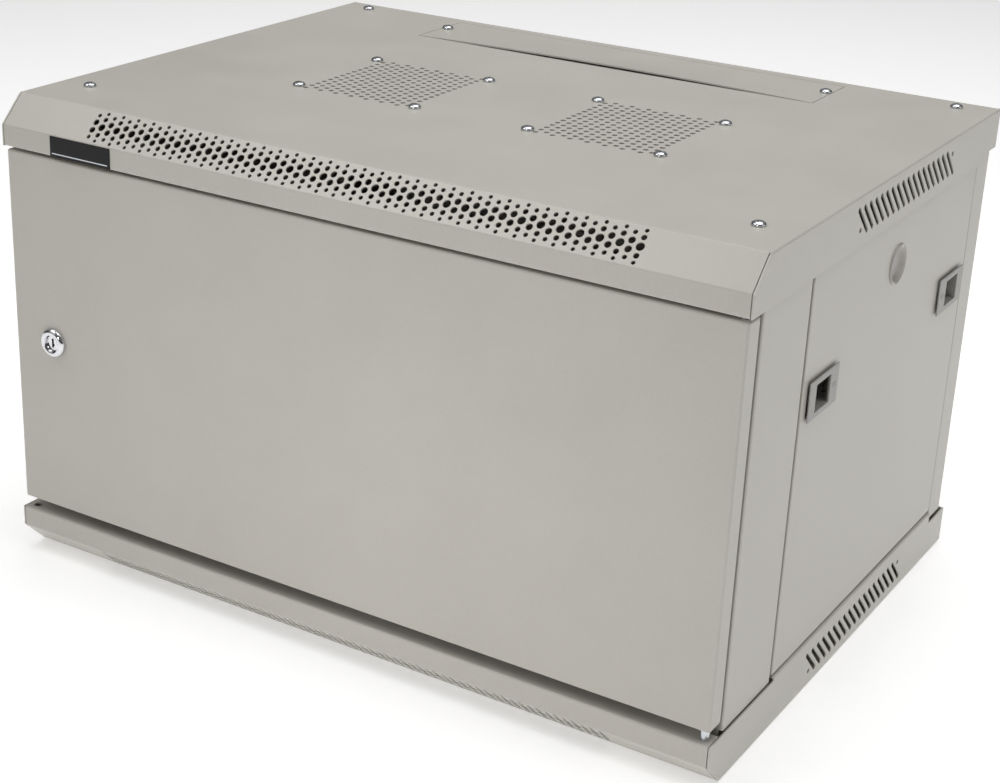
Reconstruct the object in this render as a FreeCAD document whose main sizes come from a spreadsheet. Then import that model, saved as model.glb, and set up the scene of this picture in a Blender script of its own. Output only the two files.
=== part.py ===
"""Wall mount network cabinet: folded covers, posts, door, side panels, rails and fans.

Millimetres. +X right, +Y towards the wall, +Z up. The origin is the middle of the cabinet's
footprint at the underside of the bottom tray; the front lips stand at -Y.
"""
import FreeCAD, Part
import math
import os
import Sketcher
from FreeCAD import Placement, Rotation, Vector

DRIVING_SIZES = (
    # the cabinet as a whole
    ("cabinet_width", 600),
    ("cabinet_depth", 450),
    ("cabinet_height", 368),
    # top cover and bottom tray, folded from one gauge of sheet
    ("cover_sheet", 1.2),
    ("chamfer", 20.5),
    ("lip_height", 16),
    ("lip_ledge", 16),
    ("lip_seam", 0.8),
    ("rear_flange", 30),
    ("panel_ledge", 14),
    ("panel_ledge_rise", 3),
    # graded perforation of the chamfers
    ("perf_columns", 32),
    ("perf_pitch", 13.9),
    ("perf_large", 5.2),
    ("perf_mid", 4.2),
    ("perf_row_mid", 3.2),
    # slanted vent slots of the side flanges
    ("slot_count", 18),
    ("slot_pitch", 10),
    ("slot_width", 4),
    ("slot_rise", 20.5),
    ("slot_end_along", 88),
    ("slot_end_rise", 6.3),
    # fans and the perforated fields above them
    ("fan_size", 120),
    ("fan_depth", 25),
    ("fan_screw_pitch", 105),
    ("fan_spacing", 201),
    ("fan_row_back", 219),
    ("fan_duct", 114),
    ("fan_hub", 40),
    ("fan_tip_gap", 2),
    ("blade_count", 7),
    ("blade_thickness", 2),
    ("blade_height", 17),
    ("blade_sweep", 18),
    ("fan_shaft", 4),
    ("fan_play", 0.1),
    ("fan_spider", 4),
    ("fan_spoke", 6),
    ("rotor_hub", 36),
    ("vent_rows", 4),
    ("vent_pitch", 24),
    ("vent_hole", 12),
    # cable entry at the rear of the top cover
    ("entry_width", 358),
    ("entry_length", 67),
    ("entry_rear_margin", 12),
    ("entry_gap", 0.6),
    ("entry_front_gap", 2),
    ("entry_tab", 16),
    ("entry_screw_inset", 5),
    ("entry_screw_rear", 28),
    ("hook_half_width", 150),
    ("hook_overlap", 5),
    ("hook_reach", 6),
    # posts
    ("frame_gap", 0.3),
    ("frame_sheet", 1.2),
    ("post_return", 26),
    ("front_post_width", 75.7),
    ("rear_post_width", 27),
    ("rear_setback", 8),
    ("post_relief", 3),
    ("corner_tab_back", 40),
    ("corner_screw_inset", 28.5),
    ("front_screw_back", 64.5),
    ("rear_screw_inset", 19),
    ("corner_tab", 44),
    # door
    ("door_recess", 1.5),
    ("door_thickness", 17),
    ("door_gap", 2.8),
    ("door_side_gap", 2),
    ("door_top_gap", 2.5),
    ("door_bottom_gap", 9),
    ("door_sheet", 1.2),
    ("door_bend", 2),
    ("door_lip", 12),
    ("stiffener_width", 50),
    ("stiffener_depth", 12),
    ("stiffener_flange", 14),
    # hinge pins
    ("pin_inset", 8),
    ("pin_back", 8),
    ("pin_diameter", 5.9),
    ("pin_play", 0.1),
    ("pin_shoulder", 7),
    ("pin_reach", 5),
    ("pin_head", 9),
    ("pin_collar", 2),
    ("pin_collar_width", 7.2),
    ("pin_tail", 4.5),
    ("pin_tail_play", 0.6),
    ("pin_arm", 12),
    ("pin_bracket_height", 27),
    ("pin_bracket_drop", 6),
    ("spring_wire", 0.9),
    ("spring_diameter", 7.7),
    ("spring_turns", 4),
    # lock
    ("lock_inset", 38),
    ("lock_height", 184.4),
    ("lock_bezel", 23),
    ("lock_bezel_rise", 4),
    ("lock_thread", 18),
    ("lock_length", 21.5),
    ("lock_bore", 12),
    ("lock_bezel_bevel", 2.8),
    ("lock_face_recess", 2.5),
    ("lock_play", 0.1),
    ("lock_nut", 22),
    ("lock_nut_height", 5),
    ("cam_reach", 32),
    ("cam_width", 14),
    ("cam_sheet", 2),
    ("cam_gap", 0.6),
    ("cam_bore", 7),
    ("keyway", 2),
    ("keyway_tall", 8),
    # side panels
    ("panel_gap", 3),
    ("panel_sheet", 1.2),
    ("panel_return", 12),
    ("panel_bottom_gap", 3),
    ("panel_top_gap", 1),
    ("latch_height", 241.3),
    ("latch_inset", 31.8),
    ("latch_length", 49),
    ("latch_tall", 28.5),
    ("latch_face", 1.5),
    ("latch_standoff", 1.3),
    ("latch_window_length", 24.5),
    ("latch_window_tall", 20),
    ("latch_end_wall", 2.75),
    ("latch_rim", 1),
    ("latch_depth", 10.5),
    ("latch_travel", 8),
    ("latch_play", 0.3),
    ("tongue_sheet", 2.5),
    ("tongue_tall", 18),
    ("guide_wall", 2),
    ("guide_length", 38),
    ("guide_foot", 5.5),
    ("plug_drop", 34.5),
    ("plug_diameter", 30),
    ("plug_shank", 26),
    ("plug_play", 0.2),
    ("plug_rim", 1.5),
    ("plug_border", 3),
    ("plug_bevel", 3.5),
    ("plug_dish", 4),
    ("plug_depth", 8),
    ("tab_length", 20),
    ("tab_reach", 6.5),
    ("tab_inset", 6.5),
    ("tab_slot_inside", 4.5),
    ("tab_slot_outside", 1.5),
    ("slot_play", 1),
    ("tab_spread", 110),
    # back panel
    ("back_sheet", 1.5),
    ("back_width", 580),
    ("back_top_gap", 3),
    ("wall_slot_spacing_x", 400),
    ("wall_slot_spacing_z", 220),
    ("wall_slot_width", 10),
    ("wall_slot_length", 20),
    # nineteen inch rails
    ("rack_units", 6),
    ("unit_height", 44.45),
    ("rail_opening", 450.4),
    ("rail_hole_spacing", 465.1),
    ("rail_hole", 9.5),
    ("rail_face", 24.8),
    ("rail_web", 30),
    ("rail_sheet", 1.5),
    ("rail_end", 16),
    ("front_rail_back", 60),
    ("rear_rail_inset", 120),
    ("bracket_sheet", 1.5),
    ("bracket_tall", 24),
    ("bracket_tab", 34),
    ("bracket_screw_edge", 7.5),
    # fasteners
    ("screw_head", 9.6),
    ("screw_rise", 3.2),
    ("screw_taper", 25),
    ("screw_shank", 4),
    ("screw_play", 0.6),
    ("screw_length", 8),
    ("stud_diameter", 6),
    ("stud_length", 20),
    ("stud_nut", 10),
    ("stud_nut_height", 5),
    # badge plate
    ("badge_width", 56.5),
    ("badge_height", 15),
    ("badge_sheet", 0.8),
    ("badge_inset", 47.35),
)


class Size:
    """A number together with the sheet expression that gives it."""

    def __init__(self, value, text):
        self.value = float(value)
        self.text = text

    def joined(self, sign, other, value, turned=False):
        other_text = other.text if isinstance(other, Size) else repr(other)
        pair = (other_text, self.text) if turned else (self.text, other_text)
        return Size(value, f"({pair[0]} {sign} {pair[1]})")

    def __add__(self, other):
        return self.joined("+", other, self.value + number(other))

    def __radd__(self, other):
        return self.joined("+", other, number(other) + self.value, True)

    def __sub__(self, other):
        return self.joined("-", other, self.value - number(other))

    def __rsub__(self, other):
        return self.joined("-", other, number(other) - self.value, True)

    def __mul__(self, other):
        return self.joined("*", other, self.value * number(other))

    def __rmul__(self, other):
        return self.joined("*", other, number(other) * self.value, True)

    def __truediv__(self, other):
        return self.joined("/", other, self.value / number(other))

    def __neg__(self):
        return Size(-self.value, f"(0 - {self.text})")


def number(size):
    return size.value if isinstance(size, Size) else float(size)


doc = FreeCAD.newDocument("network_cabinet")
sheet = doc.addObject("Spreadsheet::Sheet", "Sizes")


class Sheet:
    """Every driving size by its name."""


s = Sheet()
for row, (alias, value) in enumerate(DRIVING_SIZES, start=1):
    sheet.set(f"A{row}", alias)
    sheet.set(f"B{row}", str(value))
    sheet.setAlias(f"B{row}", alias)
    setattr(s, alias, Size(value, f"Sizes.{alias}"))
doc.recompute()

sub_parts = []


# --- working with the document -------------------------------------------------------------


def bind(thing, prop, size):
    """Tie a property to the sheet, or set it where it is a plain number."""
    if isinstance(size, Size):
        thing.setExpression(prop, size.text)
    elif "." in prop:
        thing.setExpression(prop, repr(size))
    else:
        setattr(thing, prop, size)


def place(thing, x=0, y=0, z=0, turn=None):
    thing.Placement = Placement(Vector(), turn or Rotation())
    for axis, size in zip("xyz", (x, y, z)):
        bind(thing, f"Placement.Base.{axis}", size)
    return thing


def keep(thing, label):
    """Mark an object as a finished sub-part; its label names its file."""
    thing.Label = label
    sub_parts.append(thing)
    return thing


def new_body(name):
    return doc.addObject("PartDesign::Body", name + "_body")


def sketch_on(body, role, offset=0, name="outline"):
    """A sketch on one of the body's own origin planes, moved along the plane's normal."""
    sketch = body.newObject("Sketcher::SketchObject", f"{body.Name}_{name}")
    plane = [f for f in body.Origin.OriginFeatures if f.Role == role][0]
    sketch.AttachmentSupport = [(plane, "")]
    sketch.MapMode = "FlatFace"
    bind(sketch, "AttachmentOffset.Base.z", offset)
    return sketch


def hold_point(sketch, edge, end, across, up, held):
    """Fix one end of an edge by its two distances from the sketch's origin."""
    for kind, size, axis in (("DistanceX", across, -2), ("DistanceY", up, -1)):
        if not isinstance(size, Size) and size == 0:
            held.append((Sketcher.Constraint("PointOnObject", edge, end, axis), None))
        else:
            rule = Sketcher.Constraint(kind, -1, 1, edge, end, number(size))
            held.append((rule, size))


def add_held(sketch, held):
    first = sketch.ConstraintCount
    sketch.addConstraint([rule for rule, size in held])
    for step, (rule, size) in enumerate(held):
        if isinstance(size, Size):
            sketch.setExpression(f"Constraints[{first + step}]", size.text)


def polygon(sketch, corners):
    """A closed run of straight edges through (across, up) corners."""
    first = sketch.GeometryCount
    spots = [Vector(number(across), number(up), 0) for across, up in corners]
    sketch.addGeometry([Part.LineSegment(a, b) for a, b in zip(spots, spots[1:] + spots[:1])])
    held = []
    for step, (across, up) in enumerate(corners):
        following = first + (step + 1) % len(corners)
        held.append((Sketcher.Constraint("Coincident", first + step, 2, following, 1), None))
        hold_point(sketch, first + step, 1, across, up, held)
    add_held(sketch, held)


def rectangle(sketch, left, bottom, right, top):
    polygon(sketch, [(left, bottom), (right, bottom), (right, top), (left, top)])


def diamond(sketch, across, up, size):
    """A four-sided hole standing on its corner, as wide as the round one it stands for."""
    reach = size / 2
    polygon(sketch, [(across - reach, up), (across, up - reach), (across + reach, up), (across, up + reach)])


def many_sided(sketch, across, up, flats, sides):
    """A regular polygon given by its width across flats."""
    reach = flats / (2 * round(math.cos(math.pi / sides), 9))
    corners = []
    for step in range(sides):
        angle = math.pi * (2 * step + 1) / sides
        corners.append((across + reach * round(math.cos(angle), 9), up + reach * round(math.sin(angle), 9)))
    polygon(sketch, corners)


def circle(sketch, across, up, diameter):
    middle = Vector(number(across), number(up), 0)
    edge = sketch.addGeometry(Part.Circle(middle, Vector(0, 0, 1), number(diameter) / 2))
    held = []
    hold_point(sketch, edge, 3, across, up, held)
    held.append((Sketcher.Constraint("Diameter", edge, number(diameter)), diameter))
    add_held(sketch, held)


def pad(body, sketch, length, both_ways=False, backwards=False):
    feature = body.newObject("PartDesign::Pad", f"{sketch.Name}_pad")
    feature.Profile = sketch
    bind(feature, "Length", length)
    feature.SideType = "Symmetric" if both_ways else "One side"
    feature.Reversed = backwards
    body.Tip = feature
    doc.recompute()
    return feature


def pocket(body, sketch, depth, both_ways=False):
    """Cut a sketch into the body, on whichever side of its plane the material lies."""
    before = body.Shape.Volume
    feature = body.newObject("PartDesign::Pocket", f"{sketch.Name}_pocket")
    feature.Profile = sketch
    bind(feature, "Length", depth)
    feature.SideType = "Symmetric" if both_ways else "One side"
    body.Tip = feature
    doc.recompute()
    if body.Shape.Volume > before - 0.01:
        feature.Reversed = True
        doc.recompute()
    if body.Shape.Volume > before - 0.01:
        raise RuntimeError(f"{feature.Name} cuts nothing")
    return feature


def row_of(body, feature, sketch, axis, length, count):
    """Repeat a pocket along one of its sketch's axes."""
    pattern = body.newObject("PartDesign::LinearPattern", f"{feature.Name}_row")
    pattern.Originals = [feature]
    pattern.Direction = (sketch, [axis])
    bind(pattern, "Length", length)
    bind(pattern, "Occurrences", count)
    body.Tip = pattern
    doc.recompute()
    return pattern


def edges_where(shape, wanted):
    """Names of the edges whose middle and direction meet a rule."""
    names = []
    for step, edge in enumerate(shape.Edges, start=1):
        if not isinstance(edge.Curve, Part.Line):
            continue
        if wanted(edge.CenterOfMass, edge.tangentAt(edge.FirstParameter)):
            names.append(f"Edge{step}")
    return names


def round_edges(body, feature, radius, wanted):
    rounding = body.newObject("PartDesign::Fillet", f"{feature.Name}_rounding")
    rounding.Base = (feature, edges_where(feature.Shape, wanted))
    bind(rounding, "Radius", radius)
    body.Tip = rounding
    doc.recompute()
    return rounding


def bevel_edges(body, feature, size, wanted):
    bevel = body.newObject("PartDesign::Chamfer", f"{feature.Name}_bevel")
    bevel.Base = (feature, edges_where(feature.Shape, wanted))
    bind(bevel, "Size", size)
    body.Tip = bevel
    doc.recompute()
    return bevel


def box(name, left, front, bottom, length, width, height):
    solid = doc.addObject("Part::Box", name)
    bind(solid, "Length", length)
    bind(solid, "Width", width)
    bind(solid, "Height", height)
    return place(solid, left, front, bottom)


def slab(name, x, y, z):
    """A box between two planes along each axis, given in either order."""
    low = [min(pair, key=number) for pair in (x, y, z)]
    spans = [max(pair, key=number) - least for pair, least in zip((x, y, z), low)]
    return box(name, *low, *spans)


def rod(name, x, y, z, diameter, height, turn=None):
    solid = doc.addObject("Part::Cylinder", name)
    bind(solid, "Radius", diameter / 2)
    bind(solid, "Height", height)
    return place(solid, x, y, z, turn)


def prism(name, x, y, z, flats, height, sides, turn=None):
    """A many-sided bar given by its width across flats."""
    solid = doc.addObject("Part::Prism", name)
    solid.Polygon = sides
    bind(solid, "Circumradius", flats / (2 * round(math.cos(math.pi / sides), 9)))
    bind(solid, "Height", height)
    return place(solid, x, y, z, turn)


def stack(body, layers, sides):
    """Many-sided layers of one axis, each (bottom, top, flats), as pads of one body."""
    for step, (bottom, top, flats) in enumerate(layers):
        layer = sketch_on(body, "XY_Plane", bottom, f"layer{step}")
        many_sided(layer, 0, 0, flats, sides)
        pad(body, layer, top - bottom)


def fused(name, *solids):
    joined = doc.addObject("Part::MultiFuse", name)
    joined.Shapes = list(solids)
    joined.Refine = True
    return joined


def cut(name, base, *tools):
    tool = tools[0] if len(tools) == 1 else fused(name + "_tool", *tools)
    remaining = doc.addObject("Part::Cut", name)
    remaining.Base = base
    remaining.Tool = tool
    remaining.Refine = True
    return remaining


def group_of(name, master, spots):
    """One solid repeated at several (x, y, z) or (x, y, z, turn) spots as a single node."""
    copies = []
    for step, spot in enumerate(spots, start=1):
        link = doc.addObject("App::Link", f"{name}_{step}")
        link.LinkedObject = master
        copies.append(place(link, *spot))
    group = doc.addObject("Part::Compound", name)
    group.Links = copies
    return keep(group, name)


# --- places that several pieces share ------------------------------------------------------

front = -s.cabinet_depth / 2
rear = s.cabinet_depth / 2
half_width = s.cabinet_width / 2
flange = s.chamfer + s.lip_height
frame_half = half_width - s.cover_sheet - s.frame_gap
inner_top = s.cabinet_height - s.cover_sheet

door_front = front + s.door_recess
door_back = door_front + s.door_thickness
door_bottom = flange + s.door_bottom_gap
door_top = s.cabinet_height - flange - s.door_top_gap
door_half = half_width - s.door_side_gap

post_front = door_back + s.door_gap
front_post_end = post_front + s.front_post_width
rear_post_end = rear - s.rear_setback
rear_post_front = rear_post_end - s.rear_post_width

panel_front = front_post_end + s.panel_gap
panel_rear = rear_post_front - s.panel_gap
panel_bottom = flange + s.panel_ledge_rise + s.panel_bottom_gap
panel_top = s.cabinet_height - flange - s.panel_top_gap
panel_middle = (panel_front + panel_rear) / 2
plug_height = panel_top - s.plug_drop

pin_x = half_width - s.pin_inset
pin_y = front + s.pin_back
pin_hole = s.pin_diameter + s.pin_play



# --- top cover and bottom tray -------------------------------------------------------------


def cover(name):
    """A folded cover in its own frame: outer face at zero height, flanges hanging down."""
    gauge = s.cover_sheet
    miter = gauge * math.tan(math.pi / 8)
    body = new_body(name)
    skin = sketch_on(body, "YZ_Plane", name="skin")
    polygon(skin, [
        (front, -flange),
        (front, -s.chamfer),
        (front + s.chamfer, 0),
        (rear, 0),
        (rear, -s.rear_flange),
        (rear - gauge, -s.rear_flange),
        (rear - gauge, -gauge),
        (front + s.chamfer + miter, -gauge),
        (front + gauge, -s.chamfer - miter),
        (front + gauge, gauge - flange),
        (front + s.lip_ledge, gauge - flange),
        (front + s.lip_ledge, -flange),
    ])
    pad(body, skin, s.cabinet_width - 2 * gauge, both_ways=True)
    return body


def side_flanges(body, corners):
    """The two upright side flanges, with the same outline left and right."""
    for step, offset in enumerate((s.cover_sheet - half_width, half_width)):
        flank = sketch_on(body, "YZ_Plane", offset, f"flank{step}")
        polygon(flank, corners)
        pad(body, flank, s.cover_sheet, backwards=True)


def vent_slots(body, slant):
    """A row of slanted slots through both flanges, with a small hole at each end of the row.

    slant is 1 where the slots lean forward at their tops, -1 where they lean back.
    """
    row_y = panel_middle
    row_z = -flange / 2
    first_y = row_y - (s.slot_count - 1) * s.slot_pitch / 2
    lean = slant * s.slot_rise / 2
    half_cut = s.slot_width / math.sqrt(2)
    slots = sketch_on(body, "YZ_Plane", name="slots")
    polygon(slots, [
        (first_y - lean - half_cut, row_z + s.slot_rise / 2),
        (first_y - lean + half_cut, row_z + s.slot_rise / 2),
        (first_y + lean + half_cut, row_z - s.slot_rise / 2),
        (first_y + lean - half_cut, row_z - s.slot_rise / 2),
    ])
    across = s.cabinet_width + 2
    cut_slot = pocket(body, slots, across, both_ways=True)
    row_of(body, cut_slot, slots, "H_Axis", (s.slot_count - 1) * s.slot_pitch, s.slot_count)
    ends = sketch_on(body, "YZ_Plane", name="slot_ends")
    diamond(ends, row_y - s.slot_end_along, row_z - slant * s.slot_end_rise, s.slot_width)
    diamond(ends, row_y + s.slot_end_along, row_z + slant * s.slot_end_rise, s.slot_width)
    pocket(body, ends, across, both_ways=True)


def chamfer_holes(body):
    """Columns of holes along the chamfer, largest in its middle row."""
    sketch = sketch_on(body, "XY_Plane", -s.chamfer / 2, "perforation")
    sketch.AttachmentOffset = Placement(Vector(), Rotation(Vector(1, 0, 0), 45))
    bind(sketch, "AttachmentOffset.Base.y", front + s.chamfer / 2)
    bind(sketch, "AttachmentOffset.Base.z", -s.chamfer / 2)
    half_pitch = s.perf_pitch / 2
    left = -(2 * s.perf_columns - 1) * half_pitch / 2
    diamond(sketch, left + half_pitch, 0, s.perf_large)
    for side in (1, -1):
        diamond(sketch, left, side * s.perf_row_mid, s.perf_mid)
    holes = pocket(body, sketch, 4 * s.cover_sheet, both_ways=True)
    row_of(body, holes, sketch, "H_Axis", (s.perf_columns - 1) * s.perf_pitch, s.perf_columns)


def lip_details(body, seam_top, hinge_side):
    """The open seam at each end of the lip, and the hinge-pin holes in its ledge.

    The door may hang on either side, so the ledge also has a plain hole at the far end.
    """
    seam = sketch_on(body, "XZ_Plane", -front, "seam")
    inner = half_width - s.cover_sheet
    rectangle(seam, inner - s.lip_seam, -flange - 1, inner, seam_top)
    rectangle(seam, -inner, -flange - 1, s.lip_seam - inner, seam_top)
    pocket(body, seam, s.chamfer)
    pins = sketch_on(body, "XY_Plane", -flange, "pin_holes")
    circle(pins, hinge_side * pin_x, pin_y, pin_hole)
    diamond(pins, -hinge_side * pin_x, pin_y, pin_hole)
    pocket(body, pins, 4 * s.cover_sheet, both_ways=True)


fan_x = s.fan_spacing / 2
fan_y = front + s.fan_row_back
fan_screw_spots = [
    (side * fan_x + across * s.fan_screw_pitch / 2, fan_y + along * s.fan_screw_pitch / 2)
    for side in (-1, 1) for across in (-1, 1) for along in (-1, 1)
]
corner_x = half_width - s.corner_screw_inset
corner_screw_spots = [
    (side * corner_x, y) for side in (-1, 1) for y in (front + s.front_screw_back, rear - s.rear_screw_inset)
]
entry_rear = rear - s.entry_rear_margin
entry_front = entry_rear - s.entry_length
entry_half = s.entry_width / 2
entry_screw_y = entry_rear - s.entry_screw_rear
entry_screw_spots = [(side * (entry_half - s.entry_screw_inset), entry_screw_y) for side in (-1, 1)]
screw_hole = s.screw_shank * 1.7
post_line = rear_post_front - s.panel_gap / 2

top = cover("top_cover")
side_flanges(top, [
    (front, -flange),
    (front, -s.chamfer),
    (front + s.chamfer, 0),
    (rear, 0),
    (rear, -s.rear_flange),
    (post_line, -s.rear_flange),
    (post_line, -flange),
])
entry_tabs = sketch_on(top, "XY_Plane", -2 * s.cover_sheet, "entry_tabs")
for side in (-1, 1):
    rectangle(entry_tabs, side * (entry_half - s.entry_tab), entry_screw_y - s.entry_tab / 2,
              side * (entry_half + s.entry_tab), entry_screw_y + s.entry_tab / 2)
entry = sketch_on(top, "XY_Plane", name="entry")
rectangle(entry, -entry_half, entry_front, entry_half, entry_rear)
pocket(top, entry, s.cover_sheet)
pad(top, entry_tabs, s.cover_sheet)
vent_slots(top, 1)
chamfer_holes(top)
lip_details(top, -s.chamfer, 1)
vents = sketch_on(top, "XY_Plane", name="vents")
vent_reach = (s.vent_rows - 1) * s.vent_pitch / 2
for side in (-1, 1):
    for step in range(int(s.vent_rows.value)):
        diamond(vents, side * fan_x - vent_reach, fan_y - vent_reach + step * s.vent_pitch, s.vent_hole)
vent_cut = pocket(top, vents, s.cover_sheet)
row_of(top, vent_cut, vents, "H_Axis", 2 * vent_reach, s.vent_rows)
screw_holes = sketch_on(top, "XY_Plane", name="screw_holes")
for x, y in fan_screw_spots + corner_screw_spots:
    diamond(screw_holes, x, y, screw_hole)
pocket(top, screw_holes, s.cover_sheet)
tab_holes = sketch_on(top, "XY_Plane", -2 * s.cover_sheet, "tab_holes")
for x, y in entry_screw_spots:
    diamond(tab_holes, x, y, screw_hole)
pocket(top, tab_holes, 2 * s.cover_sheet)
keep(place(top, z=s.cabinet_height), "top_cover")

tray = cover("bottom_tray")
tray_wall = flange + s.panel_ledge_rise
ledge_front = front_post_end + s.panel_gap / 2
side_flanges(tray, [
    (front, -flange),
    (front, -s.chamfer),
    (front + s.chamfer, 0),
    (rear, 0),
    (rear, -s.rear_flange),
    (post_line, -s.rear_flange),
    (post_line, -tray_wall),
    (ledge_front, -tray_wall),
    (ledge_front, -flange),
])
panel_ledges = sketch_on(tray, "XY_Plane", -tray_wall, "panel_ledges")
for side in (-1, 1):
    rectangle(panel_ledges, side * (half_width - s.panel_ledge), ledge_front, side * half_width, post_line)
pad(tray, panel_ledges, s.cover_sheet)
tab_x = frame_half - s.tab_inset
tab_spots = [panel_middle - s.tab_spread, panel_middle + s.tab_spread]
tab_slots = sketch_on(tray, "XY_Plane", -tray_wall, "tab_slots")
for side in (-1, 1):
    for y in tab_spots:
        rectangle(tab_slots, side * (tab_x - s.tab_slot_inside), y - s.tab_length / 2 - s.slot_play,
                  side * (tab_x + s.tab_slot_outside), y + s.tab_length / 2 + s.slot_play)
pocket(tray, tab_slots, s.cover_sheet)
vent_slots(tray, -1)
lip_details(tray, 0, -1)
keep(place(tray, turn=Rotation(Vector(0, 1, 0), 180)), "bottom_tray")


# --- posts ---------------------------------------------------------------------------------

latch_back = frame_half - s.latch_depth
tongue_face = latch_back + s.tongue_sheet


def post(name, side, post_y, tab_y, latch_wall, foot, screw_y):
    """A folded post: outer skin with a return at each edge, a tab on top and a latch slot."""
    gauge = s.frame_sheet
    post_start, post_end = post_y
    outer = side * frame_half
    lining = side * (frame_half - gauge)
    inner = side * (frame_half - s.post_return)
    body = new_body(name)
    section = sketch_on(body, "XY_Plane", s.cover_sheet, "section")
    polygon(section, [
        (inner, post_start),
        (outer, post_start),
        (outer, post_end),
        (inner, post_end),
        (inner, post_end - gauge),
        (lining, post_end - gauge),
        (lining, post_start + gauge),
        (inner, post_start + gauge),
    ])
    pad(body, section, inner_top - s.cover_sheet)
    tab = sketch_on(body, "XY_Plane", inner_top - gauge, "tab")
    rectangle(tab, side * (frame_half - s.corner_tab), tab_y[0], outer, tab_y[1])
    pad(body, tab, gauge)
    relief = sketch_on(body, "YZ_Plane", outer, "relief")
    rectangle(relief, post_start - 1, 0, post_end + 1, foot)
    pocket(body, relief, gauge)
    slot = sketch_on(body, "XZ_Plane", -latch_wall, "latch_slot")
    slot_half = s.tongue_tall / 2 + s.slot_play
    rectangle(slot, side * (latch_back - s.tab_slot_outside), s.latch_height - slot_half,
              side * (tongue_face + s.tab_slot_outside), s.latch_height + slot_half)
    pocket(body, slot, 4 * gauge, both_ways=True)
    hole = sketch_on(body, "XY_Plane", inner_top, "screw_hole")
    diamond(hole, side * corner_x, screw_y, screw_hole)
    pocket(body, hole, 2 * gauge, both_ways=True)
    return keep(body, name)


for side, hand in ((-1, "left"), (1, "right")):
    post(f"front_{hand}_post", side, (post_front, front_post_end),
         (front + s.corner_tab_back, front_post_end), front_post_end, flange + s.post_relief,
         front + s.front_screw_back)
    post(f"rear_{hand}_post", side, (rear_post_front, rear_post_end), (rear_post_front, rear_post_end),
         rear_post_front, s.rear_flange + s.post_relief, rear - s.rear_screw_inset)


# --- back panel ----------------------------------------------------------------------------

back_rear = rear_post_end - s.frame_sheet
back_front = back_rear - s.back_sheet
back_sheet = slab("back_skin", (-s.back_width / 2, s.back_width / 2), (back_front, back_rear),
                  (s.cover_sheet, inner_top - s.back_top_gap))
wall_slots = []
across_wall = Rotation(Vector(1, 0, 0), -90)
slot_straight = (s.wall_slot_length - s.wall_slot_width) / 2
for step, (side, level) in enumerate(((-1, -1), (1, -1), (-1, 1), (1, 1))):
    x = side * s.wall_slot_spacing_x / 2
    z = s.cabinet_height / 2 + level * s.wall_slot_spacing_z / 2
    half = s.wall_slot_width / 2
    wall_slots.append(slab(f"wall_slot_{step}", (x - slot_straight, x + slot_straight),
                           (back_front - 1, back_rear + 1), (z - half, z + half)))
    for end in (-1, 1):
        wall_slots.append(rod(f"wall_slot_end_{step}", x + end * slot_straight, back_front - 1, z,
                              s.wall_slot_width, s.back_sheet + 2, across_wall))
keep(cut("back_panel", back_sheet, *wall_slots), "back_panel")


# --- nineteen inch rails and their brackets ------------------------------------------------

rail_inner = s.rail_opening / 2
rail_outer = rail_inner + s.rail_face
rail_hole_x = s.rail_hole_spacing / 2
rack_bottom = (s.cabinet_height - s.rack_units * s.unit_height) / 2
rail_bottom = rack_bottom - s.rail_end
rail_height = s.rack_units * s.unit_height + 2 * s.rail_end
front_rail_y = front + s.front_rail_back
rear_rail_y = rear - s.rear_rail_inset
rail_screw_y = [front_rail_y + 2 * s.rail_web / 3, rear_rail_y - 2 * s.rail_web / 3]
rail_screw_z = {"lower": rail_bottom + s.rail_end / 2, "upper": rail_bottom + rail_height - s.rail_end / 2}
bracket_levels = {
    "lower": rail_screw_z["lower"] + s.bracket_screw_edge - s.bracket_tall,
    "upper": rail_screw_z["upper"] - s.bracket_screw_edge,
}


def rail(name, side, face, web_end, screw_y):
    """A punched angle: the drilled face at face, the web running from it to web_end."""
    gauge = s.rail_sheet
    deep = 1 if number(web_end) > number(face) else -1
    body = new_body(name)
    section = sketch_on(body, "XY_Plane", rail_bottom, "section")
    polygon(section, [
        (side * rail_inner, face),
        (side * rail_outer, face),
        (side * rail_outer, web_end),
        (side * (rail_outer - gauge), web_end),
        (side * (rail_outer - gauge), face + deep * gauge),
        (side * rail_inner, face + deep * gauge),
    ])
    pad(body, section, rail_height)
    holes = sketch_on(body, "XZ_Plane", -face, "holes")
    for sevenths in (1, 3.5, 6):
        z = rack_bottom + sevenths * s.unit_height / 7
        rectangle(holes, side * (rail_hole_x - s.rail_hole / 2), z - s.rail_hole / 2,
                  side * (rail_hole_x + s.rail_hole / 2), z + s.rail_hole / 2)
    first_unit = pocket(body, holes, 4 * gauge, both_ways=True)
    row_of(body, first_unit, holes, "V_Axis", (s.rack_units - 1) * s.unit_height, s.rack_units)
    screws = sketch_on(body, "YZ_Plane", side * rail_outer, "screws")
    for z in rail_screw_z.values():
        diamond(screws, screw_y, z, screw_hole)
    pocket(body, screws, 4 * gauge, both_ways=True)
    return keep(body, name)


def depth_bracket(name, side, level):
    """A flat bar from post to post with a tab turned outward at each end."""
    gauge = s.bracket_sheet
    start = post_front + s.frame_sheet
    end = rear_post_front
    near = side * rail_outer
    far = side * (rail_outer + gauge)
    tip = side * (rail_outer + s.bracket_tab)
    body = new_body(name)
    section = sketch_on(body, "XY_Plane", bracket_levels[level], "section")
    polygon(section, [
        (near, start),
        (tip, start),
        (tip, start + gauge),
        (far, start + gauge),
        (far, end - gauge),
        (tip, end - gauge),
        (tip, end),
        (near, end),
    ])
    pad(body, section, s.bracket_tall)
    screws = sketch_on(body, "YZ_Plane", near, "screws")
    for y in rail_screw_y:
        diamond(screws, y, rail_screw_z[level], screw_hole)
    pocket(body, screws, 4 * gauge, both_ways=True)
    return keep(body, name)


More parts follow.
